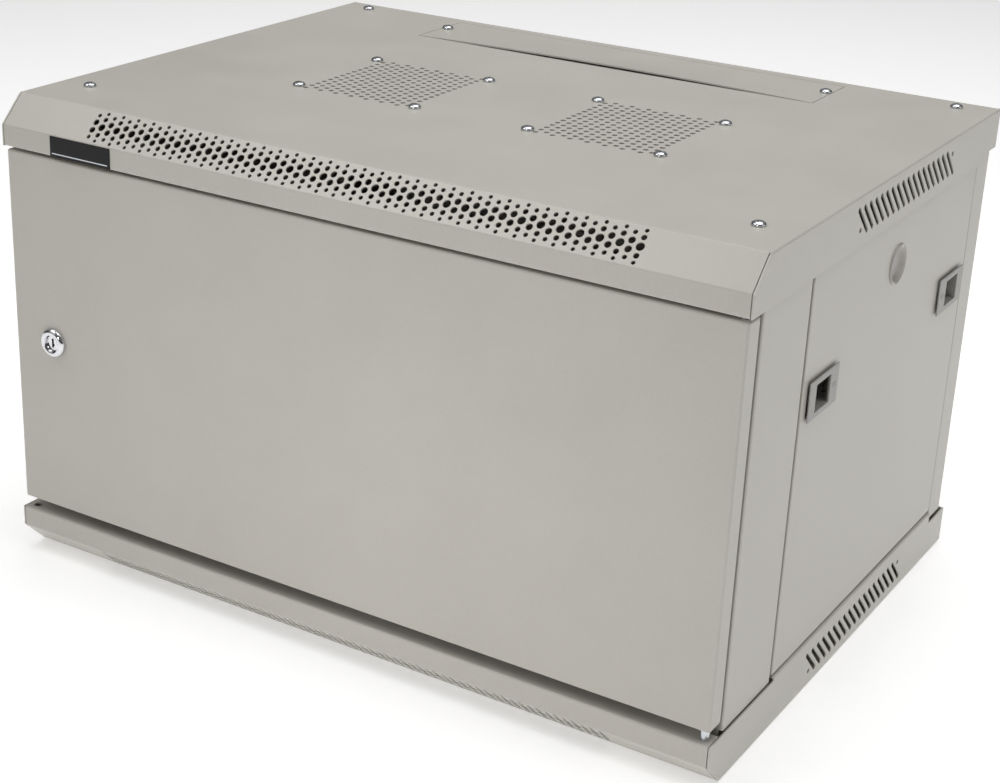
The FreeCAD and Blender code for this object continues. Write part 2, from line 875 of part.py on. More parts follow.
for side, hand in ((-1, "left"), (1, "right")):
    rail(f"front_{hand}_rail", side, front_rail_y, front_rail_y + s.rail_web, rail_screw_y[0])
    rail(f"rear_{hand}_rail", side, rear_rail_y, rear_rail_y - s.rail_web, rail_screw_y[1])
    for level in ("lower", "upper"):
        depth_bracket(f"{hand}_{level}_bracket", side, level)


# --- fans ----------------------------------------------------------------------------------

fan_bottom = inner_top - s.fan_depth
for side, hand in ((-1, "left"), (1, "right")):
    x = side * fan_x
    half = s.fan_size / 2
    block = slab(f"{hand}_fan_block", (x - half, x + half), (fan_y - half, fan_y + half),
                 (fan_bottom, inner_top))
    hollows = [prism(f"{hand}_fan_duct", x, fan_y, fan_bottom - 1, s.fan_duct, s.fan_depth + 2, 24)]
    for across in (-1, 1):
        for along in (-1, 1):
            hollows.append(prism(f"{hand}_fan_bore", x + across * s.fan_screw_pitch / 2,
                                 fan_y + along * s.fan_screw_pitch / 2, fan_bottom - 1,
                                 s.screw_shank + s.screw_play, s.fan_depth + 2, 4))
    ring = cut(f"{hand}_fan_ring", block, *hollows)
    span = s.fan_duct / 2 + 1
    half = s.fan_spoke / 2
    spider_z = (fan_bottom, fan_bottom + s.fan_spider)
    spokes = [
        slab(f"{hand}_fan_spoke_x", (x - span, x + span), (fan_y - half, fan_y + half), spider_z),
        slab(f"{hand}_fan_spoke_y", (x - half, x + half), (fan_y - span, fan_y + span), spider_z),
        prism(f"{hand}_fan_motor", x, fan_y, fan_bottom, s.fan_hub, s.fan_spider, 14),
    ]
    bearing = prism(f"{hand}_fan_bearing", x, fan_y, fan_bottom - 1, s.fan_shaft + s.fan_play,
                    s.fan_spider + 2, 8)
    keep(cut(f"{hand}_fan_frame", fused(f"{hand}_fan_body", ring, *spokes), bearing), f"{hand}_fan_frame")

    rotor = new_body(f"{hand}_fan_rotor")
    hub = sketch_on(rotor, "XY_Plane", name="hub")
    many_sided(hub, 0, 0, s.rotor_hub, 14)
    pad(rotor, hub, s.blade_height)
    shaft = sketch_on(rotor, "XY_Plane", -s.fan_spider, "shaft")
    circle(shaft, 0, 0, s.fan_shaft)
    pad(rotor, shaft, s.fan_spider + 1)
    blade = sketch_on(rotor, "YZ_Plane", s.rotor_hub / 2 - 2, "blade")
    lean = s.blade_sweep / 2
    polygon(blade, [
        (-lean, 0.5),
        (s.blade_thickness - lean, 0.5),
        (s.blade_thickness + lean, s.blade_height - 0.5),
        (lean, s.blade_height - 0.5),
    ])
    blade_pad = pad(rotor, blade, s.fan_duct / 2 - s.fan_tip_gap - s.rotor_hub / 2 + 1)
    blades = rotor.newObject("PartDesign::PolarPattern", f"{hand}_fan_blades")
    blades.Originals = [blade_pad]
    blades.Axis = (hub, ["N_Axis"])
    blades.Angle = 360
    bind(blades, "Occurrences", s.blade_count)
    rotor.Tip = blades
    place(rotor, x, fan_y, fan_bottom + s.fan_spider + s.fan_play)
    keep(rotor, f"{hand}_fan_rotor")


# --- cable entry cover ---------------------------------------------------------------------

entry_plate = new_body("cable_entry_cover")
plate_front = entry_front + s.entry_front_gap
plate_rear = entry_rear - s.entry_gap
bent = sketch_on(entry_plate, "YZ_Plane", name="bent")
polygon(bent, [
    (plate_front, inner_top - 6),
    (plate_front, s.cabinet_height),
    (plate_rear, s.cabinet_height),
    (plate_rear, inner_top),
    (plate_front + s.cover_sheet, inner_top),
    (plate_front + s.cover_sheet, inner_top - 6),
])
plate = pad(entry_plate, bent, s.entry_width - 2 * s.entry_gap, both_ways=True)
round_edges(entry_plate, plate, s.cover_sheet,
            lambda at, along: abs(along.x) > 0.9 and at.y < number(plate_front) + 0.1
            and at.z > number(s.cabinet_height) - 0.1)
hook = sketch_on(entry_plate, "XY_Plane", inner_top - s.cover_sheet, "hook")
rectangle(hook, -s.hook_half_width, plate_rear - s.hook_overlap,
          s.hook_half_width, plate_rear + s.hook_reach)
pad(entry_plate, hook, s.cover_sheet)
plate_holes = sketch_on(entry_plate, "XY_Plane", s.cabinet_height, "plate_holes")
for x, y in entry_screw_spots:
    diamond(plate_holes, x, y, screw_hole)
pocket(entry_plate, plate_holes, 4 * s.cover_sheet, both_ways=True)
keep(entry_plate, "cable_entry_cover")


# --- screws, stud and badge ----------------------------------------------------------------

screw = new_body("pan_screw")
shank = sketch_on(screw, "XY_Plane", -s.screw_length, "shank")
many_sided(shank, 0, 0, s.screw_shank, 6)
pad(screw, shank, s.screw_length)
head = sketch_on(screw, "XY_Plane", name="head")
many_sided(head, 0, 0, s.screw_head, 8)
head_pad = pad(screw, head, s.screw_rise)
bind(head_pad, "TaperAngle", -s.screw_taper)
doc.recompute()
group_of("top_corner_screws", screw, [(x, y, s.cabinet_height) for x, y in corner_screw_spots])
group_of("fan_screws", screw, [(x, y, s.cabinet_height) for x, y in fan_screw_spots])
group_of("cover_screws", screw, [(x, y, s.cabinet_height) for x, y in entry_screw_spots])
group_of("rail_screws", screw, [
    (side * (rail_outer + s.bracket_sheet), y, z, Rotation(Vector(0, 1, 0), side * 90))
    for side in (-1, 1) for y in rail_screw_y for z in rail_screw_z.values()
])

stud_x = -s.cabinet_width * 0.4
stud_y = rear - 70
stud = prism("earth_stud_shank", stud_x, stud_y, s.cover_sheet, s.stud_diameter, s.stud_length, 8)
nut = prism("earth_stud_nut", stud_x, stud_y, s.cover_sheet, s.stud_nut, s.stud_nut_height, 6)
keep(fused("earth_stud", stud, nut), "earth_stud")

badge_top = s.cabinet_height - s.chamfer - (s.lip_height - s.badge_height) / 2
keep(slab("badge_plate", (s.badge_inset - half_width, s.badge_inset + s.badge_width - half_width),
          (front - s.badge_sheet, front), (badge_top - s.badge_height, badge_top)), "badge_plate")


# --- door ----------------------------------------------------------------------------------

lock_x = s.lock_inset - door_half
door = new_body("door_panel")
leaf = sketch_on(door, "XZ_Plane", -door_front, "leaf")
rectangle(leaf, -door_half, door_bottom, door_half, door_top)
leaf_pad = pad(door, leaf, s.door_thickness, backwards=True)
round_edges(door, leaf_pad, s.door_bend,
            lambda at, along: at.y < number(door_front) + 0.1)
pan = sketch_on(door, "XZ_Plane", -door_back, "pan")
gauge = s.door_sheet
rectangle(pan, gauge - door_half, door_bottom + gauge, door_half - gauge, door_top - gauge)
pocket(door, pan, s.door_thickness - gauge)
lips = sketch_on(door, "XZ_Plane", -door_back, "lips")
polygon(lips, [
    (-door_half, door_bottom),
    (door_half - s.pin_inset - s.pin_arm, door_bottom),
    (door_half - s.pin_inset - s.pin_arm, door_bottom + s.door_lip),
    (s.door_lip - door_half, door_bottom + s.door_lip),
    (s.door_lip - door_half, door_top - s.door_lip),
    (door_half - s.pin_inset - s.pin_arm, door_top - s.door_lip),
    (door_half - s.pin_inset - s.pin_arm, door_top),
    (-door_half, door_top),
])
pad(door, lips, gauge)
lock_hole = sketch_on(door, "XZ_Plane", -door_front, "lock_hole")
many_sided(lock_hole, lock_x, s.lock_height, s.lock_thread + s.lock_play, 12)
pocket(door, lock_hole, 4 * gauge, both_ways=True)
pin_holes = sketch_on(door, "XY_Plane", (door_top + door_bottom) / 2, "pin_holes")
many_sided(pin_holes, pin_x, pin_y, pin_hole, 4)
pocket(door, pin_holes, door_top - door_bottom + 4, both_ways=True)
keep(door, "door_panel")

door_lining = door_front + gauge
stiffener = new_body("door_stiffener")
hat = sketch_on(stiffener, "XY_Plane", door_bottom + s.door_lip + 2, "hat")
half = s.stiffener_width / 2
crown = door_lining + s.stiffener_depth
polygon(hat, [
    (-half - s.stiffener_flange, door_lining),
    (gauge - half, door_lining),
    (gauge - half, crown - gauge),
    (half - gauge, crown - gauge),
    (half - gauge, door_lining),
    (half + s.stiffener_flange, door_lining),
    (half + s.stiffener_flange, door_lining + gauge),
    (half, door_lining + gauge),
    (half, crown),
    (-half, crown),
    (-half, door_lining + gauge),
    (-half - s.stiffener_flange, door_lining + gauge),
])
pad(stiffener, hat, door_top - door_bottom - 2 * s.door_lip - 4)
keep(stiffener, "door_stiffener")

lower_pin = fused(
    "lower_hinge_pin",
    rod("lower_pin_tip", pin_x, pin_y, flange - s.pin_reach, s.pin_diameter, s.pin_reach + 1),
    prism("lower_pin_shoulder", pin_x, pin_y, flange + s.pin_play, s.pin_shoulder,
          s.door_bottom_gap - s.pin_play, 8),
    slab("lower_pin_neck", (pin_x - s.pin_diameter / 2, pin_x + s.pin_diameter / 2),
         (pin_y - s.pin_diameter / 2, pin_y + s.pin_diameter / 2), (door_bottom, door_bottom + gauge)),
    prism("lower_pin_head", pin_x, pin_y, door_bottom + gauge, s.pin_head, s.pin_collar, 8),
)
keep(lower_pin, "lower_hinge_pin")

lug_top = door_top - gauge - s.pin_bracket_drop
lug_bottom = lug_top - s.pin_bracket_height
lug_reach = pin_y + 6
pin_bracket = new_body("hinge_pin_bracket")
channel = sketch_on(pin_bracket, "YZ_Plane", door_half - 1.5, "channel")
polygon(channel, [
    (door_lining, lug_bottom),
    (lug_reach, lug_bottom),
    (lug_reach, lug_bottom + gauge),
    (door_lining + gauge, lug_bottom + gauge),
    (door_lining + gauge, lug_top - gauge),
    (lug_reach, lug_top - gauge),
    (lug_reach, lug_top),
    (door_lining, lug_top),
])
pad(pin_bracket, channel, s.pin_arm, backwards=True)
lug_hole = sketch_on(pin_bracket, "XY_Plane", lug_top, "lug_hole")
many_sided(lug_hole, pin_x, pin_y, pin_hole, 4)
pocket(pin_bracket, lug_hole, 3 * gauge, both_ways=True)
tail_hole = sketch_on(pin_bracket, "XY_Plane", lug_bottom, "tail_hole")
many_sided(tail_hole, pin_x, pin_y, s.pin_tail + s.pin_tail_play, 4)
pocket(pin_bracket, tail_hole, 3 * gauge, both_ways=True)
keep(pin_bracket, "hinge_pin_bracket")

lip_under = s.cabinet_height - flange
collar_top = lug_top - gauge
pin_bottom = lug_bottom - 7
upper_pin = fused(
    "upper_hinge_pin",
    rod("upper_pin_shank", pin_x, pin_y, collar_top - 1, s.pin_diameter,
        lip_under + s.pin_reach - collar_top + 1),
    prism("upper_pin_collar", pin_x, pin_y, collar_top - s.pin_collar, s.pin_collar_width, s.pin_collar, 8),
    prism("upper_pin_tail", pin_x, pin_y, pin_bottom, s.pin_tail, collar_top - 1 - pin_bottom, 8),
    slab("upper_pin_arm", (pin_x - s.pin_arm, pin_x), (pin_y - 2, pin_y + 2), (pin_bottom, pin_bottom + 4)),
)
keep(upper_pin, "upper_hinge_pin")


def coil(radius, bottom, top, wire, turns, sides):
    """A square-wire coil between two heights, made of flat facets."""
    low, high = bottom + wire / 2, top - wire / 2
    rings = []
    for step in range(turns * sides + 1):
        turn = 2 * math.pi * step / sides
        middle = low + (high - low) * step / (turns * sides)
        rings.append([
            Vector(r * math.cos(turn), r * math.sin(turn), middle + up)
            for r, up in ((radius - wire / 2, -wire / 2), (radius + wire / 2, -wire / 2),
                          (radius + wire / 2, wire / 2), (radius - wire / 2, wire / 2))
        ])
    faces = [rings[0][::-1], rings[-1]]
    for this, following in zip(rings, rings[1:]):
        for edge in range(4):
            a, b = this[edge], this[(edge + 1) % 4]
            c, d = following[(edge + 1) % 4], following[edge]
            faces += [[a, b, c], [a, c, d]]
    shells = [Part.Face(Part.makePolygon(corners + corners[:1])) for corners in faces]
    return Part.makeSolid(Part.makeShell(shells))


spring = doc.addObject("Part::Feature", "pin_spring")
spring.Shape = coil(
    number(s.spring_diameter - s.spring_wire) / 2, number(lug_bottom + gauge),
    number(collar_top - s.pin_collar),
    number(s.spring_wire), int(number(s.spring_turns)), 8,
)
place(spring, pin_x, pin_y)
keep(spring, "pin_spring")


# --- lock: turned pieces built upright, then laid along the door's normal ------------------

outward = Rotation(Vector(1, 0, 0), 90)
lock_body = new_body("lock_body")
thread = sketch_on(lock_body, "XY_Plane", -s.lock_length, "thread")
many_sided(thread, 0, 0, s.lock_thread, 12)
pad(lock_body, thread, s.lock_length)
bezel = sketch_on(lock_body, "XY_Plane", name="bezel")
many_sided(bezel, 0, 0, s.lock_bezel, 16)
bezel_pad = pad(lock_body, bezel, s.lock_bezel_rise)
bevel_edges(lock_body, bezel_pad, s.lock_bezel_bevel,
            lambda at, along: at.z > number(s.lock_bezel_rise) - 0.1)
bore = sketch_on(lock_body, "XY_Plane", name="bore")
circle(bore, 0, 0, s.lock_bore)
pocket(lock_body, bore, 3 * s.lock_length, both_ways=True)
place(lock_body, lock_x, door_front, s.lock_height, outward)
keep(lock_body, "lock_body")

lock_nut = new_body("lock_nut")
hexagon = sketch_on(lock_nut, "XY_Plane", name="hexagon")
many_sided(hexagon, 0, 0, s.lock_nut, 6)
pad(lock_nut, hexagon, s.lock_nut_height)
nut_bore = sketch_on(lock_nut, "XY_Plane", name="bore")
many_sided(nut_bore, 0, 0, s.lock_thread + s.lock_play, 12)
pocket(lock_nut, nut_bore, s.lock_nut_height * 3, both_ways=True)
place(lock_nut, lock_x, door_lining + s.lock_nut_height, s.lock_height, outward)
keep(lock_nut, "lock_nut")

barrel_face = s.lock_bezel_rise - s.lock_face_recess
cam_near = -s.lock_length - s.cam_gap
cam_far = cam_near - s.cam_sheet
barrel_body = fused(
    "barrel_turned",
    rod("barrel_core", 0, 0, cam_near, s.lock_bore - s.lock_play, barrel_face - cam_near),
    slab("barrel_drive", (-s.cam_bore / 2, s.cam_bore / 2), (-s.cam_bore / 2, s.cam_bore / 2),
         (cam_far, cam_near)),
)
keyway = slab("keyway_cut", (-s.keyway / 2, s.keyway / 2), (-s.keyway_tall / 2, s.keyway_tall / 2),
              (barrel_face - s.keyway_tall, barrel_face + 1))
barrel = cut("lock_barrel", barrel_body, keyway)
place(barrel, lock_x, door_front, s.lock_height, outward)
keep(barrel, "lock_barrel")

cam = new_body("lock_cam")
cam_sketch = sketch_on(cam, "XY_Plane", cam_far, "cam")
half = s.cam_width / 2
corner = s.cam_width / 4
polygon(cam_sketch, [
    (-half, corner - s.cam_reach),
    (corner - half, -s.cam_reach),
    (half - corner, -s.cam_reach),
    (half, corner - s.cam_reach),
    (half, half - corner),
    (half - corner, half),
    (corner - half, half),
    (-half, half - corner),
])
pad(cam, cam_sketch, s.cam_sheet)
cam_bore = sketch_on(cam, "XY_Plane", cam_far, "bore")
many_sided(cam_bore, 0, 0, s.cam_bore + s.lock_play, 4)
pocket(cam, cam_bore, 3 * s.cam_sheet, both_ways=True)
place(cam, lock_x, door_front, s.lock_height, outward)
keep(cam, "lock_cam")

cam_screw = prism("cam_screw", lock_x, door_front - cam_far, s.lock_height, s.screw_head, s.screw_rise, 8,
                  across_wall)
keep(cam_screw, "cam_screw")


# --- side panels, plugs and latches --------------------------------------------------------

plug_body = new_body("plug")
stack(plug_body, [(-s.plug_depth, 0, s.plug_shank), (0, s.plug_rim, s.plug_diameter)], 16)
dish = sketch_on(plug_body, "XY_Plane", s.plug_rim, "dish")
dish_flats = s.plug_diameter - 2 * s.plug_border - 2 * s.plug_bevel
many_sided(dish, 0, 0, dish_flats, 16)
dish_cut = pocket(plug_body, dish, s.plug_dish)
bevel_edges(plug_body, dish_cut, s.plug_bevel,
            lambda at, along: at.z > number(s.plug_rim) - 0.1 and at.Length < number(s.plug_diameter) / 2 - 2)
latch_neck = s.latch_window_length / 2 + s.latch_end_wall
neck_tall = s.latch_window_tall / 2 + s.latch_rim


def side_panel(hand, side):
    """A shallow tray of sheet with two tabs under its foot and openings for plug and latches."""
    gauge = s.panel_sheet
    face = side * frame_half
    name = f"{hand}_side_panel"
    body = new_body(name)
    leaf = sketch_on(body, "YZ_Plane", face, "leaf")
    rectangle(leaf, panel_front, panel_bottom, panel_rear, panel_top)
    pad(body, leaf, s.panel_return, backwards=side > 0)
    pan = sketch_on(body, "YZ_Plane", side * (frame_half - s.panel_return), "pan")
    rectangle(pan, panel_front + gauge, panel_bottom + gauge, panel_rear - gauge, panel_top - gauge)
    pocket(body, pan, s.panel_return - gauge)
    tabs = sketch_on(body, "YZ_Plane", side * (tab_x + gauge / 2), "tabs")
    for y in tab_spots:
        rectangle(tabs, y - s.tab_length / 2, panel_bottom - s.tab_reach,
                  y + s.tab_length / 2, panel_bottom + gauge)
    pad(body, tabs, gauge, backwards=side > 0)
    openings = sketch_on(body, "YZ_Plane", face, "openings")
    many_sided(openings, panel_middle, plug_height, s.plug_shank + s.plug_play, 16)
    for end in (-1, 1):
        middle = panel_middle + end * latch_spread
        rectangle(openings, middle - end * (latch_neck + 0.5), s.latch_height - neck_tall - 0.5,
                  middle + end * (latch_neck + s.latch_travel + 0.5), s.latch_height + neck_tall + 0.5)
    pocket(body, openings, gauge)
    slots = sketch_on(body, "XZ_Plane", -panel_middle, "tongue_slots")
    rectangle(slots, side * (latch_back - 0.5), s.latch_height - s.tongue_tall / 2 - 0.5,
              side * (tongue_face + 0.5), s.latch_height + s.tongue_tall / 2 + 0.5)
    pocket(body, slots, panel_rear - panel_front + 4, both_ways=True)
    keep(body, name)


def latch_guide(name, side, middle):
    """The channel behind the panel skin that the latch's foot plate slides in."""
    skin = frame_half - s.panel_sheet
    floor = latch_back - s.latch_play
    back = floor - s.guide_wall
    lip_back = latch_back + s.guide_wall + s.latch_play
    lip_face = lip_back + s.guide_wall
    inside = s.latch_tall / 2 + s.latch_play
    outside = inside + s.guide_wall
    lip_edge = neck_tall + s.latch_play
    foot = outside + s.guide_foot
    half = [
        (skin, foot),
        (skin, inside),
        (lip_face, inside),
        (lip_face, lip_edge),
        (lip_back, lip_edge),
        (lip_back, inside),
        (floor, inside),
    ]
    hull = [
        (skin - s.guide_wall, foot),
        (skin - s.guide_wall, outside),
        (back, outside),
    ]
    ring = half + [(x, -up) for x, up in reversed(half)]
    ring += [(x, -up) for x, up in hull] + list(reversed(hull))
    body = new_body(name)
    section = sketch_on(body, "XZ_Plane", -middle, "section")
    polygon(section, [(side * x, s.latch_height + up) for x, up in ring])
    pad(body, section, s.guide_length, both_ways=True)
    keep(body, name)


def latch_slide(name, side, end, middle):
    """Face plate, finger well, foot plate and tongue of one sliding latch."""
    foot_face = latch_back + s.guide_wall
    cover_back = frame_half + s.latch_standoff
    cover_face = cover_back + s.latch_face
    half = s.latch_tall / 2
    z = s.latch_height
    edge = panel_middle + end * (panel_rear - panel_middle)
    foot = slab(f"{name}_foot", (side * latch_back, side * foot_face),
                (middle - latch_neck, middle + latch_neck), (z - half, z + half))
    neck = slab(f"{name}_neck", (side * foot_face, side * cover_back),
                (middle - latch_neck, middle + latch_neck), (z - neck_tall, z + neck_tall))
    plate = slab(f"{name}_plate", (side * cover_back, side * cover_face),
                 (middle - s.latch_length / 2, middle + s.latch_length / 2), (z - half, z + half))
    tongue = slab(f"{name}_tongue", (side * latch_back, side * tongue_face),
                  (middle, edge + end * s.panel_gap / 2), (z - s.tongue_tall / 2, z + s.tongue_tall / 2))
    reach = s.latch_window_length / 2
    well = slab(f"{name}_well", (side * (latch_back + 1.5), side * (cover_face + 1)),
                (middle - reach, middle + reach), (z - s.latch_window_tall / 2, z + s.latch_window_tall / 2))
    keep(cut(name, fused(f"{name}_solid", foot, neck, plate, tongue), well), name)


latch_spread = panel_rear - panel_middle - s.latch_inset
for side, hand in ((-1, "left"), (1, "right")):
    side_panel(hand, side)
    group_of(f"{hand}_panel_plug", plug_body,
             [(side * frame_half, panel_middle, plug_height, Rotation(Vector(0, 1, 0), side * 90))])
    for end, place_name in ((-1, "front"), (1, "rear")):
        middle = panel_middle + end * latch_spread
        latch_guide(f"{hand}_{place_name}_latch_guide", side, middle)
        latch_slide(f"{hand}_{place_name}_latch", side, end, middle)


# --- checking and writing ------------------------------------------------------------------

doc.recompute()
for thing in doc.Objects:
    if "Invalid" in thing.State or "Error" in thing.State:
        raise RuntimeError(f"{thing.Label} did not recompute: {thing.State}")
os.makedirs("parts", exist_ok=True)
for thing in sub_parts:
    shape = thing.Shape
    if shape.isNull() or not shape.isValid():
        raise RuntimeError(f"{thing.Label} has no valid shape")
    shape.exportStep(f"parts/{thing.Label}.step")
    print(f"{thing.Label}: {len(shape.Solids)} solid(s), {shape.Volume:.0f} mm3")
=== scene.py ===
"""Looks of a wall mount network cabinet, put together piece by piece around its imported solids.

Metres. +X is the cabinet's right, +Y the wall behind it and +Z up, from the middle of its base.
"""

import math

import bmesh
import bpy
from mathutils import Matrix, Vector


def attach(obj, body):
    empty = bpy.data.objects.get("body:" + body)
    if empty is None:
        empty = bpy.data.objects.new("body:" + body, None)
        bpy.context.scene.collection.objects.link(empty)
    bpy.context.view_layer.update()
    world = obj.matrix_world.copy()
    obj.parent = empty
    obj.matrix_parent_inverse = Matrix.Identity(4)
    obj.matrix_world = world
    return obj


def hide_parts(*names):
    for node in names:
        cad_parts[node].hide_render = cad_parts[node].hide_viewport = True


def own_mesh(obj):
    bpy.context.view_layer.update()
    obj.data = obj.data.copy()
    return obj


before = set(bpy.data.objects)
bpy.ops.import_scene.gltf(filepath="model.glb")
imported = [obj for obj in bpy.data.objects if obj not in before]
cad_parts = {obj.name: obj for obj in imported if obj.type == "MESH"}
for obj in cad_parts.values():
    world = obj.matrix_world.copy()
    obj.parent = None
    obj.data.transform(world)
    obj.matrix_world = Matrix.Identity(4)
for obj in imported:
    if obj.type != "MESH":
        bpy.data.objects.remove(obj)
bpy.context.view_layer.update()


# --- top cover -----------------------------------------------------------------------------
# Roof, perforated chamfer, lip, ledge and slotted flanges, folded from one sheet of 1.2 mm
# steel and powder coated a light warm grey. It sits over the four posts, under four screws.


def surface_grain():
    """A group that gives a finish its fine grain, its slow drift of tone and its sheen."""
    group = bpy.data.node_groups.new("surface_grain", "ShaderNodeTree")
    for name, kind, start in (
        ("Low Colour", "NodeSocketColor", (0.5, 0.5, 0.5, 1)),
        ("High Colour", "NodeSocketColor", (0.5, 0.5, 0.5, 1)),
        ("Low Roughness", "NodeSocketFloat", 0.4),
        ("High Roughness", "NodeSocketFloat", 0.5),
        ("Grains per Metre", "NodeSocketFloat", 1000.0),
        ("Depth", "NodeSocketFloat", 0.0001),
    ):
        socket = group.interface.new_socket(name=name, in_out="INPUT", socket_type=kind)
        socket.default_value = start
    for name, kind in (("Colour", "NodeSocketColor"), ("Roughness", "NodeSocketFloat"),
                       ("Normal", "NodeSocketVector")):
        group.interface.new_socket(name=name, in_out="OUTPUT", socket_type=kind)
    nodes, link = group.nodes, group.links.new
    given, result = nodes.new("NodeGroupInput"), nodes.new("NodeGroupOutput")
    place = nodes.new("ShaderNodeTexCoord")
    grain, drift = nodes.new("ShaderNodeTexNoise"), nodes.new("ShaderNodeTexNoise")
    grain.inputs["Detail"].default_value = 2.0
    drift.inputs["Scale"].default_value = 14.0
    drift.inputs["Detail"].default_value = 5.0
    drift.inputs["Roughness"].default_value = 0.6
    link(place.outputs["Object"], grain.inputs["Vector"])
    link(place.outputs["Object"], drift.inputs["Vector"])
    link(given.outputs["Grains per Metre"], grain.inputs["Scale"])
    both = nodes.new("ShaderNodeMix")
    both.inputs["Factor"].default_value = 0.5
    link(grain.outputs["Fac"], both.inputs["A"])
    link(drift.outputs["Fac"], both.inputs["B"])
    spread = nodes.new("ShaderNodeMapRange")
    spread.inputs["From Min"].default_value = 0.38
    spread.inputs["From Max"].default_value = 0.62
    link(both.outputs["Result"], spread.inputs["Value"])
    tone = nodes.new("ShaderNodeMix")
    tone.data_type = "RGBA"
    link(spread.outputs["Result"], tone.inputs["Factor"])
    link(given.outputs["Low Colour"], tone.inputs["A"])
    link(given.outputs["High Colour"], tone.inputs["B"])
    sheen = nodes.new("ShaderNodeMix")
    link(spread.outputs["Result"], sheen.inputs["Factor"])
    link(given.outputs["Low Roughness"], sheen.inputs["A"])
    link(given.outputs["High Roughness"], sheen.inputs["B"])
    relief = nodes.new("ShaderNodeBump")
    link(given.outputs["Depth"], relief.inputs["Distance"])
    link(grain.outputs["Fac"], relief.inputs["Height"])
    link(tone.outputs["Result"], result.inputs["Colour"])
    link(sheen.outputs["Result"], result.inputs["Roughness"])
    link(relief.outputs["Normal"], result.inputs["Normal"])
    return group


grain_of_surface = surface_grain()


def finish(name, low, high, roughness, grains, depth, **constants):
    """A material that takes its colour, roughness and relief from the surface grain."""
    material = bpy.data.materials.new(name)
    material.use_nodes = True
    nodes, link = material.node_tree.nodes, material.node_tree.links.new
    shader = nodes["Principled BSDF"]
    for socket, value in constants.items():
        shader.inputs[socket.replace("_", " ")].default_value = value
    grain = nodes.new("ShaderNodeGroup")
    grain.node_tree = grain_of_surface
    values = ((*low, 1), (*high, 1), *roughness, grains, depth)
    for socket, value in zip(grain.inputs, values):
        socket.default_value = value
    link(grain.outputs["Colour"], shader.inputs["Base Color"])
    link(grain.outputs["Roughness"], shader.inputs["Roughness"])
    link(grain.outputs["Normal"], shader.inputs["Normal"])
    return material


powder_coat = finish("powder_coat", (0.458, 0.438, 0.396), (0.488, 0.468, 0.426), (0.30, 0.40),
                     900, 0.00006)


def placed(mesh, name, material, body, nodes, crease=30):
    """Make a piece of a finished mesh. It rides on a body and stands for its CAD nodes."""
    data = bpy.data.meshes.new(name)
    mesh.to_mesh(data)
    mesh.free()
    data.materials.append(material)
    data.polygons.foreach_set("use_smooth", [True] * len(data.polygons))
    data.set_sharp_from_angle(angle=math.radians(crease))
    piece = bpy.data.objects.new(name, data)
    bpy.context.scene.collection.objects.link(piece)
    flats = piece.modifiers.new("flats", "WEIGHTED_NORMAL")
    flats.keep_sharp = True
    flats.weight = 100
    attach(piece, body)
    for node in nodes:
        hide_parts(node)
    return piece


def spanned(across, up):
    """The matrix that spreads a unit square over a rectangle."""
    middle = Matrix.Translation(((across[0] + across[1]) / 2, (up[0] + up[1]) / 2, 0))
    return middle @ Matrix.Diagonal((across[1] - across[0], up[1] - up[0], 1, 1))


def blank(mesh, across, up, place):
    """A flat rectangle of sheet on the plane of a matrix, as the list of its corners."""
    return bmesh.ops.create_grid(mesh, x_segments=1, y_segments=1, size=0.5,
                                 matrix=place @ spanned(across, up))["verts"]


def bar(mesh, middle, size):
    """A square-edged bar about a point, as the list of its corners."""
    place = Matrix.Translation(middle) @ Matrix.Diagonal((*size, 1))
    return bmesh.ops.create_cube(mesh, size=1, matrix=place)["verts"]


def edges_of(verts):
    """The edges that meet at these corners."""
    return list(dict.fromkeys(edge for vert in verts for edge in vert.link_edges))


def ease(mesh, edges, easing, segments=3, **choices):
    """Round some edges."""
    bmesh.ops.bevel(mesh, geom=edges, offset=easing, offset_type="OFFSET", affect="EDGES",
                    segments=segments, profile=0.5, material=-1, **choices)


def lie_at(verts, at):
    """Whether all of the corners lie at the given x, y or z."""
    return all(abs(getattr(vert.co, axis) - place) < 1e-5
               for vert in verts for axis, place in at.items())


def edges_at(mesh, **at):
    """The edges that lie where the given x, y or z are."""
    return [edge for edge in mesh.edges if lie_at(edge.verts, at)]


def faces_at(mesh, **at):
    """The faces that lie flat at the given x, y or z."""
    return [face for face in mesh.faces if lie_at(face.verts, at)]


def within(edges, axis, low, high):
    """Those of the edges that lie between two places along an axis."""
    return [
        edge for edge in edges
        if all(low - 1e-5 < getattr(vert.co, axis) < high + 1e-5 for vert in edge.verts)
    ]


def carry_on(mesh, edges, by):
    """Carry the sheet on from these edges, and give the corners of its new border."""
    grown = bmesh.ops.extrude_edge_only(mesh, edges=edges)["geom"]
    corners = [item for item in grown if isinstance(item, bmesh.types.BMVert)]
    bmesh.ops.translate(mesh, verts=corners, vec=by)
    return corners


def cut_across(mesh, faces, place, normal):
    """Score a line across some faces, so that each side of it can be folded alone."""
    around = dict.fromkeys(part for face in faces for part in (face, *face.edges, *face.verts))
    bmesh.ops.bisect_plane(mesh, geom=list(around), dist=1e-7, plane_co=place, plane_no=normal)


def round_folds(mesh, radius, steps=4):
    """Round the folds of a sheet: its square bends first, then its half bends."""
    for low, high in ((75, 105), (35, 60)):
        folds = [
            edge for edge in mesh.edges
            if len(edge.link_faces) == 2 and low < math.degrees(edge.calc_face_angle(0)) < high
        ]
        reach = radius * math.tan(math.radians((low + high) / 4))
        ease(mesh, folds, reach, steps, clamp_overlap=True)


